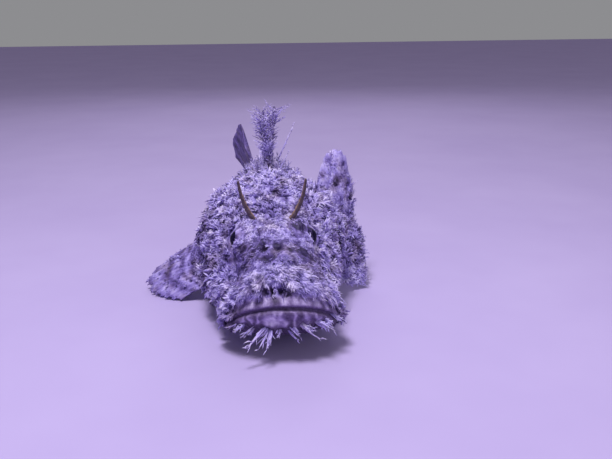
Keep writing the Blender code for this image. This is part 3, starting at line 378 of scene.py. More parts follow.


# Markings, with painted shade in the face's pits and creases, at the mouth's slit and under the jaw: a row
# each, its weight the strength

DARK_PATCHES_AND_PIT_SHADE = (
    # cheeks and brow, and painted shade in the pits and creases
    (-16.5, 27.0, 39.5, 6.4, 10.0, 7.0, 1.2), (-13.0, 25.5, 45.2, 4.2, 7.0, 4.0, 0.7),
    (-17.5, 31.0, 35.0, 4.0, 6.0, 5.0, 0.8), (7.8, 17.8, 46.2, 6.6, 9.0, 5.2, 1.45),
    (13.0, 19.0, 42.5, 4.5, 8.0, 5.0, 0.8), (10.8, 35.2, 51.8, 4.0, 4.6, 2.2, 3.0),
    (-7.4, 22.6, 48.2, 2.7, 3.8, 2.7, 3.2), (-1.6, 20.3, 48.5, 2.7, 3.8, 2.7, 3.2),
    (-6.6, 16.0, 44.6, 4.8, 3.4, 1.4, 1.8), (-10.3, 4.0, 33.7, 1.4, 3.4, 2.0, 3.0),
    (-7.5, 3.0, 33.9, 1.4, 3.4, 2.1, 3.0), (-3.6, 2.3, 34.1, 2.5, 3.4, 2.1, 3.0),
    (6.0, 3.0, 34.5, 6.0, 4.0, 1.6, 0.7),
    # spots of the crown
    (-17.1, 49.7, 53.0, 1.8, 2.4, 2.0, 2.4), (17.4, 48.8, 53.9, 1.8, 2.4, 2.0, 2.4),
    (-2.7, 41.2, 56.2, 1.4, 2.0, 1.4, 1.6), (-6.3, 37.2, 55.1, 1.4, 2.0, 1.4, 1.6),
    (2.8, 27.1, 54.2, 1.5, 2.0, 1.4, 1.6), (-7.0, 30.6, 52.2, 1.8, 2.2, 1.4, 1.6),
    # sides of the head and corners of the mouth
    (-29.2, 53.9, 28.4, 6.0, 8.0, 8.0, 1.8), (-35.2, 74.2, 36.9, 6.0, 7.0, 7.0, 2.0),
    (36.7, 70.9, 29.2, 7.0, 8.0, 7.0, 2.0), (35.0, 90.0, 15.0, 7.0, 8.0, 8.0, 1.2),
    (25.5, 20.5, 11.0, 5.0, 6.0, 5.0, 2.0), (-25.5, 20.5, 11.0, 5.0, 6.0, 5.0, 1.4),
)
PALE_PATCHES = (
    (0.0, 33.0, 55.0, 10.0, 12.0, 8.0, 0.6), (-3.0, 9.0, 40.5, 11.0, 7.0, 6.0, 0.9),
    (23.0, 17.0, 28.0, 8.0, 9.0, 6.0, 0.7), (-4.6, 21.4, 48.5, 1.0, 3.0, 2.4, 2.0),
    (-8.9, 3.5, 33.8, 0.7, 3.4, 1.8, 2.6), (-5.6, 2.6, 34.0, 0.7, 3.4, 1.8, 2.6),
    (20.0, 33.0, 24.0, 7.0, 10.0, 6.0, 0.5), (0.0, 65.0, 68.0, 14.0, 10.0, 8.0, 0.4),
)
# Dark saddles over the back, in mm: along, reach
SADDLES = mm((98, 8), (128, 9), (158, 8), (186, 7))
# Pale stripes of the lower jaw in mm: distance from the midline at half height, half width, and strength
JAW_LIGHTS = (
    (-22.2, 0.6, 0.26), (-19.6, 0.7, 0.34), (-16.6, 0.7, 0.36), (-13.8, 0.7, 0.32), (-9.8, 1.4, 0.36),
    (-6.6, 1.3, 0.40), (-3.6, 1.0, 0.32), (0.8, 0.8, 0.30), (6.6, 1.2, 0.30), (12.0, 0.9, 0.26),
    (15.8, 0.8, 0.24), (19.6, 0.8, 0.22),
)
JAW_BOW = 0.0016
JAW_BLOTCH = (-6.8, 0.0, 19.5, 5.0, 20.0, 3.5)
# Height below which the jaw's underside gets painted shade
JAW_SHADE_TOP = 0.0192
UPPER_LIP_LIGHTS = mm(
    (-15.5, 1.4), (-9.8, 1.3), (-2.5, 1.6), (2.2, 1.4), (6.2, 1.3), (11.8, 1.6), (16.5, 1.5),
)
# Tone of the mouth's slit, the lips' own dark edge with painted shade, and how far it reaches
SLIT_SHADE_TONE = 0.21
SLIT_SHADE_REACH = 0.0010


def tone_of(point):
    """Tone of the body: blotches of three sizes, the patches with painted shade in the face's pits and
    creases, saddles over the back, a paler belly.
    """
    tone = 0.57 + waves(point, (0.08, 0.013, 21), (0.13, 0.0062, 22), (0.09, 0.0027, 23))
    # The dark patches include painted shade in the face's pits and creases
    tone = tone - 0.30 * bells(point, DARK_PATCHES_AND_PIT_SHADE) + 0.26 * bells(point, PALE_PATCHES)
    wobbled = point[..., 1] + waves(point, (0.003, 0.012, 24))
    saddles = past(point[..., 2], 0.022, 0.02) * sum(hump(wobbled - along, reach) for along, reach in SADDLES)
    belly = under(point[..., 2], 0.012, 0.010) * past(point[..., 1], 0.03, 0.02)
    return np.clip(tone - 0.26 * saddles + 0.18 * belly, 0.02, 0.98)


def jaw_tone(point):
    """Lower jaw: pale stripes from lip to chin that bow outwards, a pale blotch, the slit's dark edge with
    painted shade, and painted shade on the underside.
    """
    level = np.clip(-mouth_height(point) / 0.011, 0, 1)
    out = point[..., 0] + waves(point, (0.0006, 0.006, 31))
    out = out - JAW_BOW * np.tanh((point[..., 0] + 0.005) / 0.004) * (np.sin(level * math.pi) - 0.6)
    stripes = sum(strength * hump(out - place / 1000, reach / 1000) for place, reach, strength in JAW_LIGHTS)
    tone = 0.22 + waves(point, (0.05, 0.0035, 32)) + 1.5 * stripes + 0.26 * bell(point, JAW_BLOTCH)
    # The lips' dark edge with painted shade at the slit
    tone = tone + (SLIT_SHADE_TONE - tone) * hump(mouth_height(point), SLIT_SHADE_REACH)
    # Painted shade on the jaw's underside, towards tone 0.08
    return tone + under(point[..., 2], JAW_SHADE_TOP, 0.0022) * (0.08 - tone)


def upper_lip_tone(point):
    """Upper lip: mauve, with pale upright blotches across it, dark in the middle, and at the slit its own
    dark edge with painted shade.
    """
    away, out = mouth_height(point), point[..., 0]
    blotches = sum(hump(out - place, reach) for place, reach in UPPER_LIP_LIGHTS)
    tone = 0.36 + waves(point, (0.06, 0.004, 33)) - 0.16 * hump(out + 0.0058, 0.0022)
    tone = tone + 0.36 * blotches * past(away, 0.0008, 0.0010)
    # The lips' dark edge with painted shade at the slit
    return tone + (SLIT_SHADE_TONE - tone) * hump(away, SLIT_SHADE_REACH)


def skin_tone(point, ring):
    """Tone all over: the body's, passing into the lip's above the mouth and the jaw's below it."""
    away, muzzle, tone = mouth_height(point), near_mouth(ring), tone_of(point)
    tone = tone + muzzle * under(away, 0.0050, 0.0008) * (upper_lip_tone(point) - tone)
    return np.clip(tone + muzzle * smooth(-away / 0.0004) * (jaw_tone(point) - tone), 0.0, 1.0)


# Meshes from arrays

def enclosed(points, faces):
    """Six times the volume inside the faces: the sum over their triangles of first . (second x third)."""
    first, *others = (points[faces[:, k]] for k in range(faces.shape[1]))
    return sum((first * np.cross(second, third)).sum() for second, third in zip(others, others[1:]))


def fill_mesh(name, points, kinds, floats=None, uv=None):
    """Object of one closed mesh that faces out, from arrays of triangles or quads and numbers for points."""
    if sum(enclosed(points, faces) for faces in kinds) < 0:
        kinds = [faces[:, ::-1] for faces in kinds]
    corners = np.concatenate([faces.ravel() for faces in kinds]).astype(np.int32)
    sizes = np.concatenate([np.full(len(faces), faces.shape[1]) for faces in kinds])
    mesh = bpy.data.meshes.new(name)
    mesh.vertices.add(len(points))
    mesh.vertices.foreach_set("co", np.asarray(points, np.float32).ravel())
    mesh.loops.add(len(corners))
    mesh.loops.foreach_set("vertex_index", corners)
    mesh.polygons.add(len(sizes))
    mesh.polygons.foreach_set("loop_start", (np.cumsum(sizes) - sizes).astype(np.int32))
    mesh.update(calc_edges=True)
    for label, values in (floats or {}).items():
        layer = mesh.attributes.new(label, "FLOAT", "POINT")
        layer.data.foreach_set("value", np.asarray(values, np.float32).ravel())
    if uv is not None:
        layer = mesh.uv_layers.new(name="OFBake")
        layer.data.foreach_set("uv", np.asarray(uv, np.float32)[corners].ravel())
    mesh.validate()
    mesh.shade_smooth()
    made = bpy.data.objects.new(name, mesh)
    bpy.context.scene.collection.objects.link(made)
    return made


def add_piece(name, points, kinds, floats, material, slot, *nodes, uv=None, lowest=SKIN_LOWEST):
    """Piece of the straight fish, brought to its place above the floor, with its CAD nodes hidden; its slot
    is not used.
    """
    row = to_row(points)
    row[:, 2] = np.maximum(row[:, 2], lowest)
    made = fill_mesh(name, row, kinds, floats, uv)
    made.data.materials.append(material)
    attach(made, "root")
    if nodes:
        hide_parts(*nodes)


def ring_faces(rings, around, closed=False):
    """Quads between rings of points that each close on themselves, and the last on the first where closed."""
    r, s = grid(np.arange(rings - (not closed)), np.arange(around))
    after, n = (r + 1) % rings * around, (s + 1) % around
    return stacked(r * around + s, r * around + n, after + n, after + s).reshape(-1, 4)


def with_poles(values):
    """Values of a grid in a list, followed by the means of its first and its last ring, for the poles."""
    flat = values.reshape(-1, *values.shape[2:])
    return np.concatenate([flat, values[:1].mean(axis=1), values[-1:].mean(axis=1)])


def add_capped(name, points, floats, *finish):
    """Piece from a grid of rings, closed by a fan from a pole at each end."""
    rows, around = points.shape[:2]
    s, pole, last = np.arange(around), rows * around, (rows - 1) * around
    n = (s + 1) % around
    ends = np.concatenate([stacked(pole, n, s), stacked(pole + 1, last + s, last + n)])
    floats = {label: with_poles(values) for label, values in floats.items()}
    add_piece(name, with_poles(points), (ends, ring_faces(rows, around)), floats, *finish)


# Materials: linear colours from the dark gaps of the skin to its pale tips, as place, red, green, blue

SKIN_STOPS = (
    (0.00, 0.028, 0.016, 0.078), (0.22, 0.086, 0.054, 0.215), (0.45, 0.216, 0.155, 0.475),
    (0.68, 0.395, 0.315, 0.755), (1.00, 0.650, 0.555, 0.960),
)
WARM_STOPS = (
    (0.00, 0.034, 0.018, 0.044), (0.40, 0.175, 0.115, 0.210), (0.75, 0.470, 0.365, 0.540),
    (1.00, 0.760, 0.660, 0.830),
)
IRIS_STOPS = (
    (0.00, 0.007, 0.005, 0.024), (0.40, 0.007, 0.005, 0.026), (0.43, 0.052, 0.037, 0.105),
    (0.47, 0.032, 0.023, 0.080), (0.66, 0.025, 0.017, 0.066), (0.88, 0.014, 0.009, 0.040),
)
BROWN_STOPS = ((0.0, 0.045, 0.026, 0.050), (0.5, 0.110, 0.068, 0.100), (1.0, 0.330, 0.200, 0.150))
FLOOR_STOPS = ((0.2, 0.440, 0.350, 0.660), (0.8, 0.490, 0.395, 0.710))


class Look:
    """A material and short calls that add a node and give its output. A socket takes a value or an output."""

    def __init__(self, name, roughness, specular):
        self.material = bpy.data.materials.new(name)
        self.material.use_nodes = True
        self.tree = self.material.node_tree
        self.shader = self.tree.nodes["Principled BSDF"]
        self.feed(self.shader, {"Roughness": roughness, "Specular IOR Level": specular})

    def feed(self, node, sockets):
        for key, value in sockets.items():
            if isinstance(value, bpy.types.NodeSocket):
                self.tree.links.new(value, node.inputs[key])
            else:
                node.inputs[key].default_value = value

    def node(self, kind, output, sockets, **settings):
        made = self.tree.nodes.new(f"ShaderNode{kind}")
        for label, value in settings.items():
            setattr(made, label, value)
        self.feed(made, sockets)
        return made.outputs[output]

    def number(self, operation, *values, clamp=False):
        return self.node("Math", 0, dict(enumerate(values)), operation=operation, use_clamp=clamp)

    def plus(self, base, factor, value):
        """base + factor value."""
        return self.number("MULTIPLY_ADD", value, factor, base)

    def attribute(self, name):
        return self.node("Attribute", "Fac", {}, attribute_name=name)

    def noise(self, scale, detail=3.0):
        place = self.node("TexCoord", "Object", {})
        sockets = {"Vector": place, "Scale": scale, "Detail": detail, "Roughness": 0.6}
        return self.node("TexNoise", "Fac", sockets)

    def ramp(self, factor, stops):
        """Colour ramp through rows of place, red, green and blue."""
        output = self.node("ValToRGB", "Color", {"Fac": factor})
        elements = output.node.color_ramp.elements
        while len(elements) < len(stops):
            elements.new(0.5)
        for element, (place, *colour) in zip(elements, stops):
            element.position = place
            element.color = (*colour, 1.0)
        return output

    def mix(self, factor, first, second, mode="MIX"):
        sockets = {0: factor, 6: first, 7: second}
        return self.node("Mix", 2, sockets, data_type="RGBA", blend_type=mode)

    def colour(self, colour):
        self.feed(self.shader, {"Base Color": colour})

    def bump(self, height, strength, distance):
        normal = self.node("Bump", "Normal", {"Height": height, "Strength": strength, "Distance": distance})
        self.feed(self.shader, {"Normal": normal})

    def mottle(self, tone, grain_scale, grain_share, warmth=0.0):
        """Skin colour of a tone, uneven by noise, turned in part to a warmer brown, most where warmth is."""
        uneven = self.plus(self.plus(tone, grain_share, self.noise(grain_scale)), grain_share, -0.5)
        patch = self.number("SUBTRACT", self.noise(130.0, 2.0), 0.46)
        patch = self.number("MULTIPLY", patch, 5.0, clamp=True)
        share = self.number("MAXIMUM", self.number("MULTIPLY", patch, 0.55), warmth)
        self.colour(self.mix(share, self.ramp(uneven, SKIN_STOPS), self.ramp(uneven, WARM_STOPS)))

    def folds(self, name):
        """share sin(2 pi fold), from the two attributes of one set of wrinkles."""
        turn = self.number("MULTIPLY", self.attribute(f"{name}_fold"), 2 * math.pi)
        return self.number("MULTIPLY", self.number("SINE", turn), self.attribute(f"{name}_share"))


def skin_material():
    """Moist mottled skin: tone attribute with painted shade in the troughs of the wrinkles and painted light
    on their crests, fine grain, wrinkles, small bumps.
    """
    look = Look("mottled_skin", 0.58, 0.35)
    wrinkles = look.number("ADD", look.folds("ring"), look.folds("arc"))
    # The wrinkles also paint shade in their troughs and light on their crests into the tone
    look.mottle(look.plus(look.attribute("tone"), 0.14, wrinkles), 900.0, 0.5, look.attribute("warmth"))
    height = look.plus(look.noise(700.0, 5.0), 0.35, look.noise(2600.0))
    look.bump(look.plus(height, 1.3, wrinkles), 0.6, 0.0006)
    return look.material


def flap_material():
    """Skin flaps: the skin's colour at the root, paler to the tip."""
    look = Look("skin_flaps", 0.62, 0.30)
    tone = look.plus(look.attribute("tone"), 0.46, look.attribute("rise"))
    look.mottle(look.number("SUBTRACT", tone, 0.26), 1100.0, 0.35)
    look.bump(look.noise(3000.0, 2.0), 0.3, 0.0002)
    return look.material


def fin_material():
    """Fin skin: banded by its tone, paler on the rays, with a fine uneven surface."""
    look = Look("fin_membrane", 0.50, 0.35)
    look.mottle(look.plus(look.attribute("tone"), 0.12, look.attribute("ray")), 800.0, 0.45)
    look.bump(look.noise(1500.0, 4.0), 0.4, 0.0003)
    return look.material


def eye_material():
    """Wet eye: black pupil, a dark violet iris with faint spokes, and a thin clear coat."""
    look = Look("wet_eye", 0.35, 0.03)
    spokes = look.ramp(look.attribute("spoke"), ((0.30, 0.45, 0.45, 0.45), (0.75, 1.6, 1.5, 1.5)))
    look.colour(look.mix(1.0, look.ramp(look.attribute("spread"), IRIS_STOPS), spokes, "MULTIPLY"))
    look.feed(look.shader, {"Coat Weight": 0.06, "Coat Roughness": 0.04})
    return look.material


def feeler_material():
    """Feelers: brown, golden along the outer side, with fine grain."""
    look = Look("feeler_skin", 0.5, 0.35)
    grain = look.ramp(look.noise(1400.0), ((0.3, 0.6, 0.6, 0.6), (0.7, 1.25, 1.2, 1.2)))
    look.colour(look.mix(1.0, look.ramp(look.attribute("tone"), BROWN_STOPS), grain, "MULTIPLY"))
    look.bump(look.noise(2200.0), 0.5, 0.0003)
    return look.material


SKIN = skin_material()
FLAP = flap_material()
FIN = fin_material()
EYE = eye_material()
FEELER = feeler_material()


# Skin

SKIN_COLUMNS = 236
SNOUT_RINGS = 26
MUZZLE_RINGS = 98
# Rings of the head, the trunk and the tail: end, count
LATER_RINGS = ((0.090, 150), (0.150, 74), (BODY_END, 46))


def skin_rings():
    """Ring numbers from the snout to the tail: even in height near the snout, then even along the skin."""
    height = np.linspace(0.0, 1.0, SNOUT_RINGS + 1)[1:]
    muzzle = np.linspace(SNOUT_ROUNDING, 1.0, MUZZLE_RINGS + 1)[1:]
    parts = [SNOUT_ROUNDING * (1 - np.sqrt(1 - height**2)), muzzle]
    start = MOUTH_DEPTH
    for end, count in LATER_RINGS:
        parts.append(ring_of(np.linspace(start, end, count + 1)[1:]))
        start = end
    return np.concatenate(parts)


def skin_columns():
    """Angles round the body, closer together beside the mouth line, at 0 and half a turn, and on the back."""
    fine = np.linspace(0, 2 * math.pi, 4001)
    density = 1 + 3.0 * hump(np.sin(fine), 0.30) + 0.9 * smooth(np.sin(fine) / 0.5)
    total = np.concatenate([[0.0], np.cumsum((density[1:] + density[:-1]) / 2)])
    return np.interp(np.arange(SKIN_COLUMNS) / SKIN_COLUMNS * total[-1], total, fine)


def make_skin():
    """One closed skin over head, jaw, trunk and tail: a grid of rings and columns and a pole at each end."""
    ring, angle = grid(skin_rings(), skin_columns())
    points, bare = skin_point(ring, angle), bare_skin(ring, angle)
    floats = dict(zip(("ring_fold", "ring_share", "arc_fold", "arc_share"), folds(bare)))
    floats["tone"] = skin_tone(bare, ring)
    floats["warmth"] = 0.55 * near_mouth(ring) * under(mouth_height(bare), 0.0060, 0.0015)
    add_capped("skin", points, floats, SKIN, "head_skin", "head", "lower_jaw", "trunk", "tail_stalk")
    return ring, angle, points


grid_ring, grid_angle, grid_points = make_skin()


# Eyes, their rims and the feelers

CORNEA_BULGE = 0.05
EYE_ROWS = 44
EYE_AROUND = 72
RIM_RADIUS = 0.00545
RIM_REACH = 0.0004
RIM_THICKNESS = 0.0009
RIM_AROUND = 120
RIM_SIDES = 22
# How far the rim's inner side is a lid, for the fish's right eye and its left one
LID_SHARE = {-1: 1.0, 1: 0.25}
LID_POLAR = math.radians(66)
LID_HALF_LENGTH = 0.0024
LID_HALF_THICKNESS = 0.0007
FEELER_ROOT = np.array([0.0098, 0.0400, 0.0575])
FEELER_LENGTH = 0.0190
FEELER_WIDTH = 0.0023
FEELER_ROWS = 60
FEELER_SIDES = 20


def mirrored(point, side):
    """Point or direction with x turned to the given side of the fish."""
    return np.asarray(point, float) * (side, 1.0, 1.0)


def gaze_frame(side, turn):
    """Eye centre, gaze, and at each turn the direction across it: cos backwards plus sin upwards."""
    gaze = mirrored(GAZE, side)
    fore = unit(np.cross((0.0, 0.0, 1.0), gaze)) * side
    over = unit(np.cross(gaze, fore)) * side
    return mirrored(EYE_CENTRE, side), gaze, scaled(fore, np.cos(turn)) + scaled(over, np.sin(turn))


def make_eye(side, name, node):
    """Eyeball: a sphere about the gaze axis with a cornea, radius R (1 + bulge exp(-(polar/0.5)^2))."""
    polar, turn = grid(np.linspace(0.03, math.pi - 0.03, EYE_ROWS), circle(EYE_AROUND))
    centre, gaze, out = gaze_frame(side, turn)
    radius = EYE_RADIUS * (1 + CORNEA_BULGE * hump(polar, 0.5))
    points = centre + scaled(scaled(gaze, np.cos(polar)) + scaled(out, np.sin(polar)), radius)
    spread = polar / (math.pi / 2) * (1 - 0.16 * np.abs(np.cos(turn)))
    spoke = 0.5 + waves(stacked(np.cos(turn), np.sin(turn), 0.3 * polar), (0.22, 0.42, 41))
    add_capped(name, points, {"spread": spread, "spoke": spoke}, EYE, "eye", node)


def make_rim(side, name):
    """Fleshy rim of the eye: a ring about the gaze, thicker above, and a lid over the eye's inner side.

    Its section is an ellipse whose axes pass from out and gaze to the eyeball's own tangent and normal."""
    turn, wedge = grid(circle(RIM_AROUND), circle(RIM_SIDES))
    centre, gaze, out = gaze_frame(side, turn)
    above = np.maximum(np.sin(turn), 0.0)
    lid = LID_SHARE[side] * smooth(0.6 * np.sin(turn) - 1.2 * np.cos(turn))
    wave = 1 + (0.10 * np.sin(9 * turn + 1.0) + 0.07 * np.sin(23 * turn)) * (1 - lid)
    thick = RIM_THICKNESS * (0.9 + 0.55 * above**2) * wave * (1 + 0.10 * np.cos(4 * wedge))
    tangent = math.cos(LID_POLAR) * out - math.sin(LID_POLAR) * gaze
    normal = math.sin(LID_POLAR) * out + math.cos(LID_POLAR) * gaze
    on_ring = scaled(gaze, RIM_REACH + 0.0004 * above) + out * RIM_RADIUS
    middle = centre + on_ring + scaled(EYE_RADIUS * normal - on_ring, lid)
    long = unit(out + scaled(tangent - out, lid))
    short = unit(gaze + scaled(normal - gaze, lid))
    long_size = (1.25 * thick + lid * (LID_HALF_LENGTH - 1.25 * thick)) * np.cos(wedge)
    short_size = (thick + lid * (LID_HALF_THICKNESS - thick)) * np.sin(wedge)
    points = middle + scaled(long, long_size) + scaled(short, short_size)
    tone = np.clip(tone_of(points) - 0.14 * np.maximum(-np.cos(wedge), 0), 0, 1)
    faces = ring_faces(RIM_AROUND, RIM_SIDES, closed=True)
    add_piece(name, points.reshape(-1, 3), [faces], {"tone": tone}, SKIN, "head_skin")


def make_feeler(side, name, node):
    """Feeler: a knobbly oval tube with a blunt tip along length (0.52t - 0.21t^2, 0.04t, 0.74t + 0.17t^2)."""
    t, turn = grid(np.linspace(-0.14, 1.0, FEELER_ROWS), circle(FEELER_SIDES))
    path = stacked(side * (0.52 * t - 0.21 * t * t), 0.04 * t, 0.74 * t + 0.17 * t * t)
    tangent = unit(stacked(side * (0.52 - 0.42 * t), 0.04, 0.74 + 0.34 * t))
    across = unit(np.cross(tangent, (0.0, 1.0, 0.0)))
    through = np.cross(tangent, across)
    width = FEELER_WIDTH / 2 * (1 - 0.52 * np.maximum(t, 0) ** 1.3) * np.sqrt(np.clip((1.0 - t) / 0.05, 0, 1))
    width = width * (1 + 0.09 * np.sin(34 * t + 2 * np.sin(turn)) + 0.06 * np.sin(5 * turn + 9 * t))
    oval = scaled(across, np.cos(turn)) + 0.78 * scaled(through, np.sin(turn))
    points = FEELER_LENGTH * path + scaled(oval, width) + mirrored(FEELER_ROOT, side)
    outer = past(np.cos(turn) * side, 0.45, 0.45)
    tone = 0.30 + 0.62 * outer - 0.12 * smooth(t) + 0.10 * np.sin(60 * t + 3 * turn)
    add_capped(name, points, {"tone": np.clip(tone, 0, 1)}, FEELER, "feeler_skin", node)


for side, word in ((-1, "right"), (1, "left")):
    make_eye(side, f"eyeball_{word}", f"eye_{word}")
    make_rim(side, f"eye_rim_{word}")
    make_feeler(side, f"brow_feeler_{word}", f"feeler_{word}")


# Fins: keys of their rays from the first edge to the last, in mm

PER_RAY = 9
FIN_ROWS = 40
FIN_SINK = 0.0035
LEAF_TIPS = mm(
    (-6.4, 142.8, 71.5), (-8.2, 150.0, 85.0), (-10.6, 160.0, 79.0), (-12.4, 170.0, 70.5),
    (-10.8, 176.5, 60.0),
)
VENT_TIPS = mm(
    (0.8, 153.0, 1.4), (1.6, 162.0, 1.3), (2.4, 171.5, 1.8), (2.4, 179.0, 4.8), (1.4, 183.5, 10.4),
)
TAIL_ROOTS = mm((0, 202, 39.5), (0, 202, 35.5), (0, 202, 31.0), (0, 202, 26.5), (0, 202, 22.5))
TAIL_TIPS = mm(
    (-1.5, 237.0, 54.5), (0.0, 244.5, 45.0), (1.2, 247.5, 33.0), (0.8, 245.5, 20.5), (-1.0, 239.0, 11.0),
)
RAISED_ROOTS = mm((30.5, 90.0, 38.0), (31.0, 89.0, 29.0), (30.0, 86.5, 19.5), (26.0, 81.5, 10.0))
RAISED_TIPS = mm(
    (29.5, 100.0, 69.0), (32.2, 102.0, 74.8), (37.6, 106.0, 76.8), (44.2, 111.0, 71.4), (48.6, 116.0, 57.5),
    (49.4, 114.0, 37.9), (53.1, 106.0, 23.2), (53.5, 100.0, 12.0), (53.2, 93.0, 0.6),
)
RAISED_BOWS = mm((-5.0, 0, 0), (1.0, 0, 1.0), (7.5, 0, 1.0), (8.5, 0, 0), (7.0, 0, 0))
SPREAD_ROOTS = mm((31.0, 90.0, 34.0), (31.0, 89.0, 26.0), (30.0, 86.5, 18.0), (26.0, 81.5, 10.0))
SPREAD_TIPS = mm(
    (48.0, 122.0, 15.0), (60.0, 118.0, 9.5), (69.0, 106.0, 4.0), (64.0, 94.0, 0.5), (50.0, 84.0, 0.4),
)
SPREAD_BOWS = mm((3.0, 1.0, 4.5), (3.0, 1.0, 4.5))
BELLY_FAN_ROOTS = mm((15.0, 68.0, 6.2), (16.0, 72.0, 5.8), (17.0, 76.0, 5.4))
BELLY_FAN_TIPS = mm((30.0, 70.0, 0.6), (34.5, 81.0, 0.5), (33.0, 93.0, 0.5))
# Dark spots of the raised fin: height in mm, share of the way from the upper ray down, both radii, strength
RAISED_SPOTS = (
    (59.2, 0.31, 2.6, 0.048, 0.85), (55.7, 0.45, 1.8, 0.032, 0.75), (48.2, 0.51, 2.4, 0.032, 0.75),
    (64.0, 0.10, 2.2, 0.050, 0.50), (67.2, 0.35, 2.0, 0.050, 0.50), (62.8, 0.39, 1.5, 0.035, 0.45),
    (70.5, 0.14, 1.6, 0.050, 0.28), (55.3, 0.20, 1.6, 0.040, 0.40), (48.0, 0.38, 1.8, 0.050, 0.40),
    (24.7, 0.70, 4.5, 0.050, 0.52), (18.9, 0.76, 3.5, 0.045, 0.34), (13.9, 0.85, 3.0, 0.050, 0.34),
    (38.7, 0.57, 3.0, 0.040, 0.34), (31.0, 0.60, 3.0, 0.040, 0.30),
)
# Bands of the other fins: share of the way along a ray, reach, depth
TAIL_BANDS = ((0.38, 0.07, 0.30), (0.66, 0.06, 0.28))
SPREAD_BANDS = ((0.34, 0.035, 0.34), (0.47, 0.04, 0.36), (0.66, 0.07, 0.40), (0.93, 0.05, 0.22))


def bands(t, rows):
    """Sum of depth times hump over the rows of place, reach and depth."""
    return sum(depth * hump(t - where, reach) for where, reach, depth in rows)


def leaf_tone(t, place, point):
    """Rear back fin: dark, in part a dark band of its own and in part painted shade, a little paler along its
    margin and near its root.
    """
    return 0.23 + 0.12 * past(t, 0.90, 0.10) + 0.08 * under(t, 0.35, 0.3)


def tail_tone(t, place, point):
    """Tail, vent and belly fins: dark bands and a dark margin on pale mottling."""
    return 0.55 - bands(t, TAIL_BANDS) - 0.2 * past(t, 0.88, 0.08)


def raised_tone(t, place, point):
    """Raised side fin: pale, with dark spots in its upper part and dark hollows lower down."""
    tone = 0.72 + waves(point, (0.07, 0.0034, 61)) - 0.08 * under(t, 0.9, 0.9)
    for height, across, tall, wide, strength in RAISED_SPOTS:
        tone = tone - strength * hump(point[..., 2] - height / 1000, tall / 1000) * hump(place - across, wide)
    return tone


def spread_tone(t, place, point):
    """Side fin on the floor: pale mottling with ragged dark bands."""
    return 0.62 - bands(t + waves(point, (0.012, 0.009, 62)), SPREAD_BANDS)


def between(keys, t):
    """Smooth point between key rays, from the first edge to the last."""
    places = np.linspace(0, 1, len(keys))
    return stacked(*(profile(stacked(places, column), t) for column in np.asarray(keys).T))


def sheet_faces(rows, columns):
    """Quads of a closed sheet: its front, its back and the rim that joins them."""
    size = rows * columns
    r, c = grid(np.arange(rows - 1), np.arange(columns - 1))
    a = (r * columns + c).ravel()
    b, d, e = a + 1, a + columns, a + columns + 1
    rim = np.concatenate([
        np.arange(columns), np.arange(2, rows + 1) * columns - 1,
        (rows - 1) * columns + np.arange(columns - 2, -1, -1), np.arange(rows - 2, 0, -1) * columns,
    ])
    after = np.roll(rim, -1)
    front, back = stacked(a, d, e, b), stacked(a, b, e, d) + size
    return np.concatenate([front, back, stacked(rim, after, after + size, rim + size)])


def grid_normal(middle):
    """Unit normals of a grid of points."""
    return unit(np.cross(*np.gradient(middle, axis=(0, 1))))


def add_sheet(name, middle, half, tone, ray, slot, *nodes):
    """Closed sheet: the middle grid moved by plus and minus its half thickness along its own normal."""
    out = scaled(grid_normal(middle), half)
    both = np.concatenate([(middle + out).reshape(-1, 3), (middle - out).reshape(-1, 3)])
    floats = {"tone": np.tile(np.clip(tone, 0, 1).ravel(), 2), "ray": np.tile(ray.ravel(), 2)}
    add_piece(name, both, [sheet_faces(*half.shape)], floats, FIN, slot, *nodes, lowest=FIN_LOWEST)


def make_fan(name, slot, node, side, roots, tips, bow, rays, thick, notch, ruffle, tone_at, seed,
             ragged=1.0, ribs=0.52):
    """Fin of rays: each column is the curve root, bow, tip, with ridges on the rays that fork half way.

    The half thickness is thick (1 - ribs + ribs ridge), and the margin is ragged and notched between rays.
    Returns the middle grid, the half thickness and the tone."""
    random = np.random.default_rng(seed)
    place = np.linspace(0, 1, (rays - 1) * PER_RAY + 1)
    ray = place * (rays - 1)
    off = np.abs(ray - np.round(ray))
    uneven = np.interp(ray, np.arange(rays), random.uniform(-0.035, 0.0, rays))
    torn = 0.018 * np.sin(ray * 2 * math.pi * 3.3 + seed)
    reach = 1 - notch * smooth(off / 0.42) + ragged * (uneven + torn)
    t = np.linspace(0, 1, FIN_ROWS)[:, None] * np.minimum(reach, 1.0)
    bows = (roots + tips) / 2 + bow
    root, bow, tip = (between(mirrored(keys, side), place) for keys in (roots, bows, tips))
    middle = scaled(root, (1 - t) ** 2) + scaled(bow, 2 * t * (1 - t)) + scaled(tip, t**2)
    wave = np.sin(2 * math.pi * (ray / 3.1) + 1.3 * seed) + 0.5 * np.sin(2 * math.pi * ray / 1.7)
    middle = middle + scaled(grid_normal(middle), ruffle * t**2 * wave)
    forked = past(t, 0.45, 0.35)
    ridge = hump(off - 0.19 * forked, 0.15 - 0.05 * forked)
    joints = 1 + 0.12 * np.sin(2 * math.pi * t * 26) * ridge
    half = (thick[0] + (thick[1] - thick[0]) * t) * (1 - ribs + ribs * ridge * joints)
    tone = tone_at(t, place, middle) + waves(middle, (0.05, 0.0035, 51 + seed), (0.06, 0.0075, 52 + seed))
    add_sheet(name, middle, half, tone, ridge * ribs / 0.52, slot, node)
    return middle, half, tone


def back_point(along, angle=math.pi / 2):
    """Point on the midline of the back, or of the belly at minus a quarter turn."""
    return skin_point(ring_of(np.array(along)), np.array(angle))


def midline_roots(start, end, count, sign):
    """Roots of a fin on the back or the belly, sunk into it."""
    roots = [back_point(along, sign * math.pi / 2) for along in np.linspace(start, end, count)]
    return np.array(roots) - (0.0, 0.0, FIN_SINK * sign)


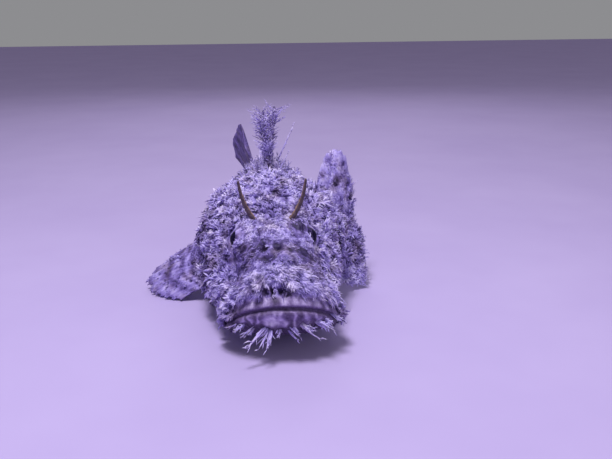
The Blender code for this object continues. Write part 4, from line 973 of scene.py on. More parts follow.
def make_fins():
    """All fins but the spiny one. Returns the grids of the two side fins, for the flaps that grow on them."""
    make_fan("leaf_fin", "dark_fin_skin", "soft_dorsal_fin", 1, midline_roots(0.1365, 0.1655, 5, 1),
             LEAF_TIPS, (0.0008, -0.0010, 0.0010), rays=10, thick=(0.0009, 0.00034), notch=0.010,
             ruffle=0.0002, tone_at=leaf_tone, seed=1, ragged=0.15, ribs=0.25)
    make_fan("vent_fin", "fin_skin", "anal_fin", 1, midline_roots(0.1380, 0.1620, 5, -1),
             VENT_TIPS, (0.0006, 0.0, -0.0004), rays=8, thick=(0.0009, 0.00034), notch=0.08,
             ruffle=0.0003, tone_at=tail_tone, seed=2)
    make_fan("tail_fan", "fin_skin", "caudal_fin", 1, TAIL_ROOTS, TAIL_TIPS, (-0.0015, 0.0, 0.0),
             rays=13, thick=(0.0013, 0.00034), notch=0.05, ruffle=0.0007, tone_at=tail_tone, seed=3)
    sides = []
    for side, word, keys, tips, bows, tone_at, notch, ragged, ribs in (
        (1, "left", RAISED_ROOTS, RAISED_TIPS, RAISED_BOWS, raised_tone, 0.02, 0.45, 0.22),
        (-1, "right", SPREAD_ROOTS, SPREAD_TIPS, SPREAD_BOWS, spread_tone, 0.05, 1.0, 0.45),
    ):
        share = np.linspace(0, 1, len(tips))
        roots, bows = between(keys, share) - (FIN_SINK, 0.0, 0.0), between(bows, share)
        sides.append(make_fan(
            f"side_fan_{word}", "fin_skin", f"pectoral_fin_{word}", side, roots, tips, bows,
            rays=17, thick=(0.0010, 0.00040), notch=notch, ruffle=0.0006, tone_at=tone_at, seed=4 + side,
            ragged=ragged, ribs=ribs))
    for side, word in ((1, "left"), (-1, "right")):
        make_fan(f"belly_fan_{word}", "fin_skin", f"pelvic_fin_{word}", side, BELLY_FAN_ROOTS, BELLY_FAN_TIPS,
                 (0.0030, 0.0, -0.0009), rays=6, thick=(0.0010, 0.00036), notch=0.09, ruffle=0.0003,
                 tone_at=tail_tone, seed=8 + side)
    return sides


side_fins = make_fins()


# Spiny back fin: heights and sideways leans of the spines in mm

SPINY_HEIGHTS = mm(15.0, 27.0, 33.0, 31.5, 26.5, 22.0, 19.0, 16.8, 15.0, 13.6, 12.4, 11.5)
SPINY_LEANS = mm(-1.5, -4.2, 4.0, -1.6, 3.2, -1.0, 1.2, 0, 0, 0, 0, 0)
SPINY_START = 0.0795
SPINY_END = 0.1255
SPINY_RAKE = (0.10, 0.80)
SPINY_SINK = 0.004
MEMBRANE_COLUMNS = 18
MEMBRANE_ROWS = 26


def spine_line(index):
    """Root and tip of one back spine: the front ones stand up, the rear ones lean back."""
    share = index / (len(SPINY_HEIGHTS) - 1)
    root = back_point(SPINY_START + (SPINY_END - SPINY_START) * share) - (0.0, 0.0, SPINY_SINK)
    rake = SPINY_RAKE[0] + (SPINY_RAKE[1] - SPINY_RAKE[0]) * share**0.7
    way = np.array([0.0, math.sin(rake), math.cos(rake)])
    return root, root + way * (SPINY_HEIGHTS[index] + SPINY_SINK) + (SPINY_LEANS[index], 0.0, 0.0)


def make_spiny_fin():
    """Membrane from spine to spine, its margin sagging as 1 - depth sin^0.5, thicker where a spine runs."""
    roots, tips = (np.array(ends) for ends in zip(*(spine_line(i) for i in range(len(SPINY_HEIGHTS)))))
    gaps = len(roots) - 1
    place = np.linspace(0, gaps, gaps * MEMBRANE_COLUMNS + 1)
    before = np.minimum(place.astype(int), gaps - 1)
    share = place - before
    root, tip = (scaled(ends[before], 1 - share) + scaled(ends[before + 1], share) for ends in (roots, tips))
    depth = np.where(before < 4, 0.78, 0.36)
    reach = 0.97 - depth * np.sin(math.pi * share) ** 0.5 + 0.02 * np.sin(place * 17.0)
    t = np.linspace(0, 1, MEMBRANE_ROWS)[:, None] * reach
    middle = root + scaled(tip - root, t)
    middle[..., 0] += 0.0005 * np.sin(place * 5.1) * t + 0.0003 * np.sin(place * 11.3 + 4 * t)
    spine = hump(np.minimum(share, 1 - share), 0.11) + 0 * t
    tone = 0.46 + 0.10 * spine + waves(middle, (0.09, 0.006, 71), (0.07, 0.0028, 72))
    tone = tone + 0.18 * past(t, 0.6, 0.3) - 0.15 * under(t, 0.35, 0.2)
    half = 0.00024 + (0.00095 - 0.00062 * t) * spine
    add_sheet("spiny_membrane", middle, half, tone, spine, "spiny_fin_skin", "spiny_dorsal_fin")


make_spiny_fin()


# Skin flaps: every one is made of tapering fingers

PLAIN_STEPS = np.array([0.0, 0.40, 0.76])
FINE_STEPS = np.array([0.0, 0.20, 0.42, 0.63, 0.83])
FINGER_SWELL = 0.18
# Columns of a finger: root, directions at root and tip, way across, length, width, thickness, tone, how much
# paler it grows at root and tip, UV of the root, place of its strip in the UV patch
FINGER_COLUMNS = (3, 3, 3, 3, 1, 1, 1, 1, 2, 2, 1)
UV_PATCH = 0.003
TUFT_SINK = 0.00025
SKIN_SHARE_OF_UV = 0.80
# Strips of the UV map beside the skin's: raised fin, spread fin, spines
FIN_UV = (0.82, 0.88, 0.94)
FIN_UV_WIDTH = 0.05


def skin_uv(ring, angle):
    """Unwrap of the skin: across the sheet goes the angle, up it the ring."""
    return stacked(SKIN_SHARE_OF_UV * angle / (2 * math.pi), 0.01 + 0.98 * ring / grid_ring.max())


def fin_uv(strip, place, t):
    """Unwrap of a fin: across its strip goes the place among the rays, up it the way along one."""
    return stacked(FIN_UV[strip] + FIN_UV_WIDTH * place, 0.01 + 0.98 * t)


def add_fingers(batch, root, *columns):
    """Adds a row for each root to the batch, with one value or one for each root in every other column."""
    count = len(np.atleast_2d(root))
    parts = [np.reshape(part, (-1, width)) for part, width in zip((root, *columns), FINGER_COLUMNS)]
    batch.append(np.concatenate([np.broadcast_to(part, (count, part.shape[1])) for part in parts], axis=1))


def on_finger(root, start, end, length, t):
    """Point of a finger: root + length (t start + t^2 (end - start) / 2), so it bends from start to end."""
    return root + scaled(scaled(start, t) + scaled(end - start, t**2 / 2), length)


def finger_mesh(name, fingers, steps, slot):
    """One mesh of many fingers: a ring of three points at each step, and a tip.

    The width is wide (1 + swell sin(pi t)) (1 - t^3), slimmer at the root."""
    parts = np.split(fingers, np.cumsum(FINGER_COLUMNS)[:-1], axis=1)
    root, start, end, across, length, wide, thick, tone, rise, uv, strip = parts
    count, rings = len(fingers), len(steps)
    start, end, t = unit(start)[:, None], unit(end)[:, None], np.append(steps, 1.0)
    path = on_finger(root[:, None], start, end, length, t)
    tangent = unit(start + scaled(end - start, t))
    side = square_to(across[:, None], tangent)
    up = np.cross(tangent, side)[:, :rings]
    taper = (1 + FINGER_SWELL * np.sin(math.pi * steps)) * (1 - steps**3) * (0.7 + 0.3 * smooth(steps / 0.25))
    half = scaled(side[:, :rings], wide / 2 * taper)
    middle = path[:, :rings]
    corners = np.stack([middle - half, middle + half, middle + scaled(up, thick * taper)], axis=2)
    points = np.concatenate([corners.reshape(count, rings * 3, 3), path[:, rings:]], axis=1)
    faces = [(0, 2, 1)]
    for first in range(0, 3 * rings, 3):
        for i, j in ((0, 1), (1, 2), (2, 0)):
            a, b = first + i, first + j
            faces += [(a, b, b + 3), (a, b + 3, a + 3)] if first < 3 * rings - 3 else [(a, b, 3 * rings)]
    each = 3 * rings + 1
    triangles = (np.arange(count)[:, None, None] * each + np.array(faces)).reshape(-1, 3)
    along = np.append(np.repeat(steps, 3), 1.0)
    aside = np.append(np.tile([-0.14, 0.14, 0.0], rings), 0.0)
    patch = uv[:, None] + UV_PATCH * stacked(aside + 0.33 * strip, along - 0.5)
    rise = rise[:, :1] + (rise[:, 1:] - rise[:, :1]) * along
    floats = {"tone": np.repeat(np.clip(tone, 0, 1), each), "rise": rise}
    add_piece(name, points.reshape(-1, 3), [triangles], floats, FLAP, slot,
              uv=patch.reshape(-1, 2), lowest=FLAP_LOWEST)


def turned(vector, axis, angle):
    """Vectors turned about unit axes square to them: v cos + (axis x v) sin."""
    return scaled(vector, np.cos(angle)) + scaled(np.cross(axis, vector), np.sin(angle))


def chosen(random, weight, count):
    """Flat indexes of cells by weight: a random place in each equal share of the running total."""
    total = np.cumsum(weight.ravel())
    pick = np.searchsorted(total, (np.arange(count) + random.uniform(size=count)) / count * total[-1])
    return np.minimum(pick, len(total) - 1)


class Sites(SimpleNamespace):
    """Places where flaps grow: points, normals, places in the UV map, and random numbers for each place."""

    def normals(self, spread, *width):
        """Normal draws about 0."""
        return self.random.normal(0, spread, (self.count, *width))

    def factors(self, spread):
        """Factors about 1, the exp of normal draws."""
        return np.exp(self.normals(spread))

    def even(self, low, high, *width):
        """Even draws between two values."""
        return self.random.uniform(low, high, (self.count, *width))


def skin_sites(count, density, seed):
    """Seeded places on the skin by area times a density, each cell's normal eased to the bare body's."""
    random = np.random.default_rng(seed)
    a, b = grid_points[:-1], grid_points[1:]
    right_a, right_b = np.roll(a, -1, axis=1), np.roll(b, -1, axis=1)
    cross = np.cross(right_b - a, right_a - b)
    ring, angle = grid_ring[:-1], grid_angle[:-1]
    weight = np.linalg.norm(cross, axis=-1) / 2 * density((a + right_b) / 2, ring, angle)
    pick = chosen(random, weight, count)
    along, aside = random.uniform(size=(count, 1)), random.uniform(size=(count, 1))
    a, b, right_a, right_b, cross = (array.reshape(-1, 3)[pick] for array in (a, b, right_a, right_b, cross))
    ring, angle = ring.ravel()[pick], angle.ravel()[pick]
    point = (a * (1 - along) + b * along) * (1 - aside) + (right_a * (1 - along) + right_b * along) * aside
    base, facet = outward(ring, angle), unit(cross)
    normal = unit(facet * np.sign((facet * base).sum(-1, keepdims=True)) + 0.8 * base)
    return Sites(point=point, normal=normal, ring=ring, uv=skin_uv(ring, angle), random=random, count=count)


def add_tufts(batch, sites, length, lie, tone, stand, splay, width, side_size, curl=0.6):
    """Each tuft: a middle finger that bends over to the lie, and a shorter one on either side of it."""
    normal = sites.normal
    across = np.cross(normal, lie)
    root = sites.point - normal * TUFT_SINK
    rise = stand * sites.even(0.6, 1.4)
    start = unit(scaled(normal, 0.45 + rise) + lie * 0.6)
    end = unit(scaled(normal, rise - 0.38) + lie + scaled(across, sites.normals(curl)))
    wide = length * width * sites.even(0.75, 1.3)
    add_fingers(batch, root, start, end, across, length, wide, wide * 0.45, tone, (0.0, 1.0), sites.uv, 0.0)
    for turn in (-1, 1):
        share = sites.even(0.10, 0.50)
        out = scaled(across, turn * splay * sites.even(0.4, 1.3))
        begin = on_finger(root, start, end, length, share)
        size = length * side_size * sites.even(0.65, 1.25)
        add_fingers(batch, begin, start * 0.7 + out, end + out * 0.5, across + turn * 0.35 * normal, size,
                    wide * 0.8, wide * 0.36, tone, (0.2, 1.0), sites.uv, turn)


def add_fronds(batches, sites, sink, start, end, across, length, wide, tone, pairs, lobe=0.52):
    """Feathery flaps: a stem, and pairs of thin uneven lobes along it that get shorter to its tip."""
    stems, lobes = batches
    root = sites.point - sites.normal * sink
    start, end = unit(start), unit(end)
    add_fingers(stems, root, start, end, across, length, wide, wide * 0.42, tone, (0.0, 0.9), sites.uv, 0.0)
    for k in range(pairs):
        for turn in (-1, 1):
            share = (k + 0.9 + 0.25 * turn + sites.even(-0.45, 0.45)) / (pairs + 0.4)
            share = np.clip(share, 0.12, 0.97)
            begin = on_finger(root, start, end, length, share)
            tangent = unit(start + scaled(end - start, share))
            normal = np.cross(tangent, across)
            out = across * turn + normal * sites.even(-0.35, 0.35, 1)
            size = length * lobe * (1 - 0.5 * share) * sites.even(0.4, 1.5)
            lean = sites.even(0.7, 1.8, 1)
            tip = tangent * 1.1 + out * 0.25 + sites.normals(0.30, 3)
            add_fingers(lobes, begin, tangent * lean + out, tip, across + 0.4 * turn * normal,
                        size, wide * 0.50, wide * 0.24, tone, (0.35, 1.0), sites.uv, turn)


def frond_mesh(name, batches, slot):
    """Stems and lobes as two pieces of one name."""
    for part, batch, steps in zip(("stems", "lobes"), batches, (FINE_STEPS, PLAIN_STEPS)):
        finger_mesh(f"{name}_{part}", np.concatenate(batch), steps, slot)


# Where the flaps grow and how they lie

# Where the muzzle's threads part, and height of the bare lip above the slit
PARTING = -0.0085
BARE_LIP = 0.0070
# Distance from the midline where the flaps begin to cover the mouth's corner, and over how much
CORNER_COVER = (0.0212, 0.0033)
# Where the bare face begins above the muzzle, in mm: distance out to the fish's left, along
FACE_FRONT = mm(
    (-22, 17.0), (-15, 13.5), (-8, 13.0), (0, 12.5), (4, 11.0), (12, 9.2), (18, 12.0), (22, 19.0),
)
FACE_BACK = 0.0400
LIP_HOLLOW = (-6.8, 3.0, 35.4, 6.4, 8.0, 4.4)
CLUMP_SIZE = 0.0042
LOCK_SIZE = 0.0030


def lie_field(point, normal):
    """Way the flaps lie: down and outwards on the muzzle, back on the crown, back and outwards elsewhere."""
    x, along, up = split(point)
    from_parting = x - PARTING * (1 - past(along, 0.015, 0.01))
    side = from_parting / np.sqrt(from_parting**2 + 0.0035**2)
    front, crown = 1 - past(along, 0.010, 0.028), past(up, 0.048, 0.014)
    lie = stacked(0.85 * side, 0.75 - 0.85 * front + 0.1 * crown, -0.55 - 0.55 * front + 0.75 * crown)
    return square_to(lie, normal)


def along_folds(point, normal):
    """Direction along the wrinkles: round the nearer eye on the cheeks, round the forehead elsewhere."""
    eye = EYE_CENTRE * np.where(point[:, :1] < 0, (-1.0, 1.0, 1.0), (1.0, 1.0, 1.0))
    cheek = under(point[:, 2:], EYE_CENTRE[2] + 0.004, 0.006)
    return unit(np.cross(normal, unit(point - FOREHEAD_CENTRE) * (1 - cheek) + unit(point - eye) * cheek))


def off_lips(point, ring):
    """0 on the lips, the slit and the jaw, 1 elsewhere and at the corners of the mouth."""
    away, corner = mouth_height(point), past(np.abs(point[..., 0]), *CORNER_COVER)
    on_mouth = near_mouth(ring) * under(away, BARE_LIP * (1 - 0.85 * corner), 0.0008)
    return np.clip(1 - on_mouth * (1 - 0.75 * corner * (away > 0.0008)), 0, 1)


def off_eyes(point, before):
    """0 on the eyes, their rims and a strip before them, wider the smaller before is, and 1 elsewhere."""
    forward, across = from_gaze(point)
    stretch = np.where(across[..., 1] < 0, before, 1.0)
    aside = np.linalg.norm(across * stacked(stretch, stretch, 1.0), axis=-1)
    return 1 - under(aside, 0.0072, 0.0010) * (forward > -0.006)


def clear_skin(point, ring, before=0.62):
    """1 where flaps may grow: off the lips, the eyes and the pits."""
    pits = sum(bell(point, row) for row in FACE_PITS)
    return off_lips(point, ring) * off_eyes(point, before) * (1 - 0.9 * np.clip(pits, 0, 1))


def on_face(point):
    """1 on the forehead and on the cheeks below the eyes, where only short strokes stand up, 0 outside."""
    x, along, up = split(point)
    within = past(along, profile(FACE_FRONT, x), 0.0022) * (1 - past(along, FACE_BACK, 0.005))
    return within * under(np.abs(x), 0.0220, 0.003) * past(up, 0.0300, 0.003)


def on_muzzle(point):
    """1 on the front of the snout above the upper lip, where the flaps are threads, 0 outside."""
    x, along = point[..., 0], point[..., 1]
    return (1 - past(along, profile(FACE_FRONT, x) + 0.001, 0.004)) * under(np.abs(x), 0.0225, 0.004)


def clumps(point):
    """Clumps of the body's flaps."""
    return waves(point, (1.0, CLUMP_SIZE, 81))


def locks(point):
    """Upright locks of the muzzle's threads."""
    return waves(point * (1.0, 0.5, 0.5), (1.0, LOCK_SIZE, 86))


def body_density(point, ring, angle):
    """Branching flaps in clumps: all over but on the face and the muzzle, fewer on the tail and the belly."""
    along, up = point[..., 1], point[..., 2]
    density = 1.35 - 0.55 * past(along, 0.060, 0.05) - 0.25 * past(along, 0.12, 0.05)
    density = density * (1 - 0.75 * under(up, 0.010, 0.008)) * clear_skin(point, ring)
    density = density * (0.60 + 0.40 * np.clip(clumps(point), -1, 1))
    return density * (1 - on_face(point)) * (1 - 0.8 * on_muzzle(point))


def thread_density(point, ring, angle):
    """Threads of the muzzle, in locks, none in the hollow above the lip."""
    filled = 1 - np.clip(1.5 * bell(point, LIP_HOLLOW), 0, 1)
    locked = 0.62 + 0.38 * np.clip(locks(point), -1, 1)
    return on_muzzle(point) * locked * clear_skin(point, ring) * (1 - on_face(point)) * filled


def stroke_density(point, ring, angle):
    """Short strokes of the face, few on the dark cheeks."""
    return on_face(point) * clear_skin(point, ring, 1.1) * (0.04 + 0.96 * past(tone_of(point), 0.30, 0.18))


def tassel_density(point, ring, angle):
    """Large flaps: on the cheeks, the gill cover's edge, shoulders and flanks, and few near the midline."""
    x, along, up = split(point)
    cheek = past(np.abs(x), 0.017, 0.006) * past(along, 0.012, 0.012)
    edge = 2.2 * hump(along - gill_edge(angle) + 0.002, 0.004)
    density = (0.10 + cheek + edge) * (1 - 0.65 * past(along, 0.10, 0.05))
    density = density * (1 - 0.85 * under(up, 0.011, 0.006))
    return density * clear_skin(point, ring) * (1 - on_face(point))


def nape_density(point, ring, angle):
    """Tall flaps beside the back spines."""
    x, along, up = split(point)
    return past(along, 0.072, 0.008) * (1 - past(along, 0.122, 0.010)) * hump(x, 0.011) * (up > 0.03) + 1e-9


# The coat

BODY_TUFTS = 16600
MUZZLE_TUFTS = 4200
FACE_TUFTS = 4300
TASSELS = 560
NAPE_TASSELS = 120
THREAD_LENGTH = 0.0027
STROKE_LENGTH = 0.00125
TASSEL_LENGTH = 0.0037
TASSEL_WIDTH = 0.00052
TASSEL_SINK = 0.0004
NAPE_WIDTH = 0.00080
# Parts of the coat from the snout to the tail, with as many flaps each
COAT_SLOTS = {
    "muzzle": "head_skin", "face": "head_skin", "crown": "head_skin", "cheeks": "head_skin",
    "shoulders": "body_skin", "flanks": "body_skin", "tail": "body_skin",
}


def body_length(point):
    """Flap length: 2.3 mm on the crown, up to 3.3 mm on cheeks and shoulders, less on belly and tail."""
    x, along, up = split(point)
    length = 0.0023 + 0.0007 * past(np.abs(x), 0.016, 0.012) + 0.0003 * past(along, 0.05, 0.03)
    return (length - 0.0008 * past(along, 0.13, 0.05)) * (1 - 0.45 * under(up, 0.010, 0.008))


def swirled(sites, large, small, spread):
    """The lie of the flaps, turned by large and small waves and by a random angle."""
    swirl = waves(sites.point, large, small) + sites.normals(spread)
    return turned(lie_field(sites.point, sites.normal), sites.normal, swirl)


def make_coat():
    """Coat of small flaps: branching ones on the body, threads on the muzzle, short strokes on the face."""
    batch, along = [], []

    def grow(sites, *look):
        add_tufts(batch, sites, *look)
        along.append(np.tile(sites.point[:, 1], 3))

    sites = skin_sites(BODY_TUFTS, body_density, 101)
    clump = np.clip(clumps(sites.point), -1.2, 1.2)
    lie = swirled(sites, (0.7, 0.011, 82), (0.45, 0.0045, 83), 0.22)
    out = past(np.abs(sites.point[:, 0]), 0.014, 0.010)
    length = body_length(sites.point) * sites.factors(0.22) * (1 + (0.22 + 0.14 * out) * clump)
    # Painted shade in the gaps between the clumps and painted light on the tall clumps
    painted_clump_light_and_shade = np.where(clump < 0, 0.16 + 0.16 * out, 0.10) * clump
    tone = skin_tone(sites.point, sites.ring) - 0.01 + sites.normals(0.09) + 0.05 * out + painted_clump_light_and_shade
    grow(sites, length, lie, tone, 0.50 + 0.32 * clump, 0.85, 0.23, 0.66)

    sites = skin_sites(MUZZLE_TUFTS, thread_density, 111)
    lock = np.clip(locks(sites.point), -1.2, 1.2)
    lie = swirled(sites, (0.22, 0.009, 87), (0.12, 0.004, 88), 0.12)
    below = under(sites.point[:, 1], profile(FACE_FRONT, sites.point[:, 0]) + 0.002, 0.006)
    length = THREAD_LENGTH * sites.factors(0.25) * (1 + 0.2 * lock) * (0.4 + 0.6 * below)
    tone = skin_tone(sites.point, sites.ring) + 0.05 + sites.normals(0.07) + 0.16 * lock
    grow(sites, length, lie, tone, 0.16 + 0.10 * lock, 0.22, 0.14, 0.85, 0.35)

    sites = skin_sites(FACE_TUFTS, stroke_density, 112)
    lie = turned(along_folds(sites.point, sites.normal), sites.normal, sites.normals(0.35))
    lie = lie * np.sign(sites.even(-1, 1, 1))
    length = STROKE_LENGTH * sites.factors(0.30)
    tone = skin_tone(sites.point, sites.ring) + 0.06 + sites.normals(0.12)
    grow(sites, length, lie, tone, 0.05, 0.35, 0.24, 0.7, 0.3)

    order = np.argsort(np.concatenate(along), kind="stable")
    fingers = np.concatenate(batch)
    for (name, slot), part in zip(COAT_SLOTS.items(), np.array_split(order, len(COAT_SLOTS))):
        finger_mesh(f"flaps_{name}", fingers[part], PLAIN_STEPS, slot)


def make_tassels():
    """Large feathery flaps among the small ones, and tall ones beside the back spines."""
    batches = [], []
    sites = skin_sites(TASSELS, tassel_density, 102)
    normal = sites.normal
    lie = turned(lie_field(sites.point, normal), normal, sites.normals(0.45))
    outer = past(np.abs(sites.point[:, 0]), 0.024, 0.008)
    length = TASSEL_LENGTH * sites.factors(0.25) * (1 + 0.25 * outer)
    tone = skin_tone(sites.point, sites.ring) + 0.06 + sites.normals(0.08)
    add_fronds(batches, sites, TASSEL_SINK, normal + lie * 0.5, normal * 0.25 + lie, np.cross(normal, lie),
               length, TASSEL_WIDTH, tone, 3)
    sites = skin_sites(NAPE_TASSELS, nape_density, 105)
    length = (0.0028 + 0.0034 * hump(sites.point[:, 0], 0.012)) * sites.factors(0.20)
    start = unit(sites.normal + sites.normals(0.20, 3))
    end = (0.0, 0.25, 1.0) + 0.4 * sites.normal + sites.normals(0.30, 3)
    across = unit(np.cross(start, (0.0, 1.0, 0.0)) + sites.normals(0.4, 3))
    tone = 0.72 + sites.normals(0.08)
    add_fronds(batches, sites, TASSEL_SINK, start, end, across, length, NAPE_WIDTH, tone, 3)
    frond_mesh("tassels", batches, "head_skin")


make_coat()
make_tassels()


# Flaps of the side fins

RAISED_FLAPS = 2100
SPREAD_FLAPS = 640
EDGE_TASSELS = 90
EDGE_TASSEL_LENGTH = 0.0036
EDGE_TASSEL_WIDTH = 0.00062
EDGE_TASSEL_SINK = 0.0002
RAISED_FACING = (0.3, -1.0, 0.2)
SPREAD_FACING = (0.0, -0.4, 1.0)


def fin_sites(count, fin, density, facing, strip, seed):
    """Seeded places by area times a density on the side of a fin that looks towards facing."""
    middle, half, tone = fin
    random = np.random.default_rng(seed)
    t, place = grid(*(np.linspace(0, 1, size) for size in half.shape))
    steps = np.gradient(middle, axis=(0, 1))
    cross = np.cross(*steps)
    pick = chosen(random, np.linalg.norm(cross, axis=-1) * density(t, place, middle), count)
    cross, forward, aside, point = (array.reshape(-1, 3)[pick] for array in (cross, *steps, middle))
    t, place, half, tone = (array.ravel()[pick] for array in (t, place, half, tone))
    normal = unit(cross)
    normal = scaled(normal, np.sign(normal @ np.array(facing)))
    jitter = random.uniform(-0.5, 0.5, (count, 2, 1))
    point = point + jitter[:, 0] * forward + jitter[:, 1] * aside + scaled(normal, half)
    return Sites(point=point, normal=normal, along=unit(forward), t=t, tone=tone,
                 uv=fin_uv(strip, place, t), random=random, count=count)


def raised_density(t, place, point):
    """Raised fin: thick over its lower two thirds and along its outer margin, fewer near its upper tip."""
    return 0.50 + 0.7 * under(point[..., 2], 0.048, 0.014) + 0.6 * past(t, 0.86, 0.08)


def spread_density(t, place, point):
    """Fin on the floor: flaps near its root, few farther out."""
    return 0.10 + 0.9 * under(t, 0.42, 0.25)


def edge_density(t, place, point):
    """Tassels along the outer margin of the raised fin, below its spots."""
    return (t > 0.80) * under(point[..., 2], 0.062, 0.01) + 1e-6


def make_fin_flaps():
    """Flaps on the raised fin's front and on the spread one's top, and tassels on the raised one's margin."""
    batch = []
    for fin, density, facing, strip, total, seed in zip(
            side_fins, (raised_density, spread_density), (RAISED_FACING, SPREAD_FACING), (0, 1),
            (RAISED_FLAPS, SPREAD_FLAPS), (131, 132)):
        sites = fin_sites(total, fin, density, facing, strip, seed)
        normal = sites.normal
        swirl = waves(sites.point, (0.8, 0.009, 89)) + sites.normals(0.3)
        lie = turned(square_to(sites.along, normal), normal, swirl)
        low = under(sites.point[:, 2], 0.052, 0.018)
        length = 0.0015 + 0.0016 * low if strip == 0 else 0.0019
        tone = sites.tone + 0.04 + sites.normals(0.10) + low * waves(sites.point, (0.10, 0.0045, 90))
        length = length * (1 - 0.45 * past(sites.t, 0.80, 0.15)) * sites.factors(0.25)
        add_tufts(batch, sites, length, lie, tone, 0.45, 0.8, 0.23, 0.66)
    finger_mesh("flaps_side_fins", np.concatenate(batch), PLAIN_STEPS, "fin_skin")

    batches = [], []
    sites = fin_sites(EDGE_TASSELS, side_fins[0], edge_density, RAISED_FACING, 0, 133)
    out = unit(sites.along * 0.30 + (0.0, -0.85, 0.35) + sites.normals(0.28, 3))
    across = unit(np.cross(out, sites.normal))
    length = EDGE_TASSEL_LENGTH * sites.factors(0.22)
    tone = 0.86 + sites.normals(0.10)
    start = out + 0.5 * sites.normal
    add_fronds(batches, sites, EDGE_TASSEL_SINK, start, out, across, length, EDGE_TASSEL_WIDTH, tone, 4)
    frond_mesh("fin_edge_tassels", batches, "fin_skin")


make_fin_flaps()


# Tassels of the chin and threads over the upper lip

# Large flaps of the chin and the mouth's corners: root x, z in mm, way they hang x, z, length, width in mm
CHIN_TASSELS = (
    (-21.8, 17.0, -0.5, -0.7, 6.2, 0.8), (-18.5, 16.5, -0.8, -0.7, 6.2, 0.8),
    (-15.0, 16.0, -0.9, -0.7, 8.5, 1.0), (-9.8, 17.0, -0.9, -1.0, 13.5, 1.4),
    (-8.0, 16.5, -0.5, -1.0, 11.5, 1.2), (-4.5, 17.0, -0.2, -1.0, 5.5, 0.8),
    (-0.5, 17.8, 1.3, -0.8, 8.8, 1.1), (1.2, 17.4, 0.9, -1.0, 5.5, 0.8), (5.5, 18.4, 1.3, -0.9, 10.4, 1.2),
    (7.5, 18.0, 0.7, -1.0, 6.2, 0.9), (11.2, 19.0, 1.4, -0.8, 9.8, 1.1), (13.5, 19.0, 0.9, -1.0, 6.2, 0.9),
    (16.5, 19.6, 1.2, -0.8, 8.4, 1.0), (19.8, 20.5, 1.0, -0.9, 7.6, 1.0), (22.8, 30.0, 0.8, -1.2, 9.2, 1.0),
    (23.5, 25.0, 1.0, -0.9, 8.0, 1.0), (24.0, 33.0, 1.0, -0.6, 6.5, 0.9), (-23.5, 28.0, -0.9, -0.9, 6.0, 0.8),
    (-24.0, 33.0, -1.0, -0.5, 5.5, 0.8),
)
CHIN_FORWARD = -0.16
CHIN_SINK = 0.0006
WISPS = 4
FRINGE_COUNT = 64
FRINGE_REACH = 0.0190
FRINGE_LENGTH = 0.0029
FRINGE_WIDTH = 0.00046
FRINGE_SINK = 0.0003
# Height of the fringe's roots above the slit
FRINGE_HEIGHT = 0.0094


def front_sites(places, random):
    """For (x, z) places on the face: the grid point there that faces the snout's side."""
    front = grid_ring < ring_of(0.030)
    points, ring, angle = grid_points[front], grid_ring[front], grid_angle[front]
    pick = ((points[None, :, (0, 2)] - places[:, None]) ** 2).sum(axis=-1).argmin(axis=1)
    ring, angle = ring[pick], angle[pick]
    return Sites(point=points[pick], normal=outward(ring, angle), ring=ring, uv=skin_uv(ring, angle),
                 random=random, count=len(pick))


def make_chin_tassels():
    """The large frilly flaps that hang from the lower jaw and the mouth's corners, each of several wisps."""
    x, z, way_x, way_z, long, wide = np.repeat(np.array(CHIN_TASSELS), WISPS, axis=0).T
    random = np.random.default_rng(103)
    sites = front_sites(stacked(x, z) / 1000 + random.normal(0, 0.0005, (len(x), 2)), random)
    way = stacked(way_x, CHIN_FORWARD, way_z)
    start = sites.normal * 0.9 + way + sites.normals(0.30, 3)
    end = unit(way + (0.0, 0.10, 0.0) + sites.normals(0.42, 3))
    across = unit(np.cross(end, sites.normal) + sites.normals(0.3, 3))
    length = long / 1000 * sites.even(0.40, 1.10)
    tone = 0.90 + sites.normals(0.08)
    batches = [], []
    add_fronds(batches, sites, CHIN_SINK, start, end, across, length, 0.85 * wide / 1000, tone, 2, 0.50)
    frond_mesh("chin_tassels", batches, "jaw_skin")


def make_lip_fringe():
    """Pale threads that hang from the edge of the muzzle over the upper lip, shorter over the pits."""
    random = np.random.default_rng(104)
    x = np.linspace(-FRINGE_REACH, FRINGE_REACH, FRINGE_COUNT) + random.normal(0, 0.0003, FRINGE_COUNT)
    drop = MOUTH_DROP * (1 - np.sqrt(np.clip(1 - (x / MOUTH_HALF_WIDTH) ** 2, 0, 1)))
    level = MOUTH_HEIGHT - x * MOUTH_TILT - drop + FRINGE_HEIGHT
    sites = front_sites(stacked(x, level + random.uniform(-0.0008, 0.0012, FRINGE_COUNT)), random)
    side = sites.point[:, 0] / FRINGE_REACH
    hang = stacked(side * 0.35 + sites.normals(0.18), -0.10, -1.0)
    across = unit(np.cross(unit(hang), sites.normal))
    over_pits = np.exp(-(((x - LIP_HOLLOW[0] / 1000) / 0.0052) ** 4))
    length = FRINGE_LENGTH * sites.factors(0.22) * (1 - 0.62 * over_pits)
    tone = skin_tone(sites.point, sites.ring) * 0.5 + 0.40 + sites.normals(0.06)
    batches = [], []
    start = sites.normal + hang * 0.6
    add_fronds(batches, sites, FRINGE_SINK, start, hang, across, length, FRINGE_WIDTH, tone, 2)
    frond_mesh("lip_fringe", batches, "head_skin")


make_chin_tassels()
make_lip_fringe()


# Plume of the first back spines, and the bony points

# Longest branch of each spine
PLUME_SIZES = (0.0070, 0.0090, 0.0092, 0.0082, 0.0062)
PLUME_FRONDS = 40
PLUME_TUFTS = 70
BRANCH_LEAST = 0.0024
BRANCH_WIDTH = 0.00060
PLUME_FLAP_LENGTH = 0.0021
SPINE_RADIUS = 0.0004
SHAFT_WIDTH = 0.0015
SHAFT_THICKNESS = 0.0010
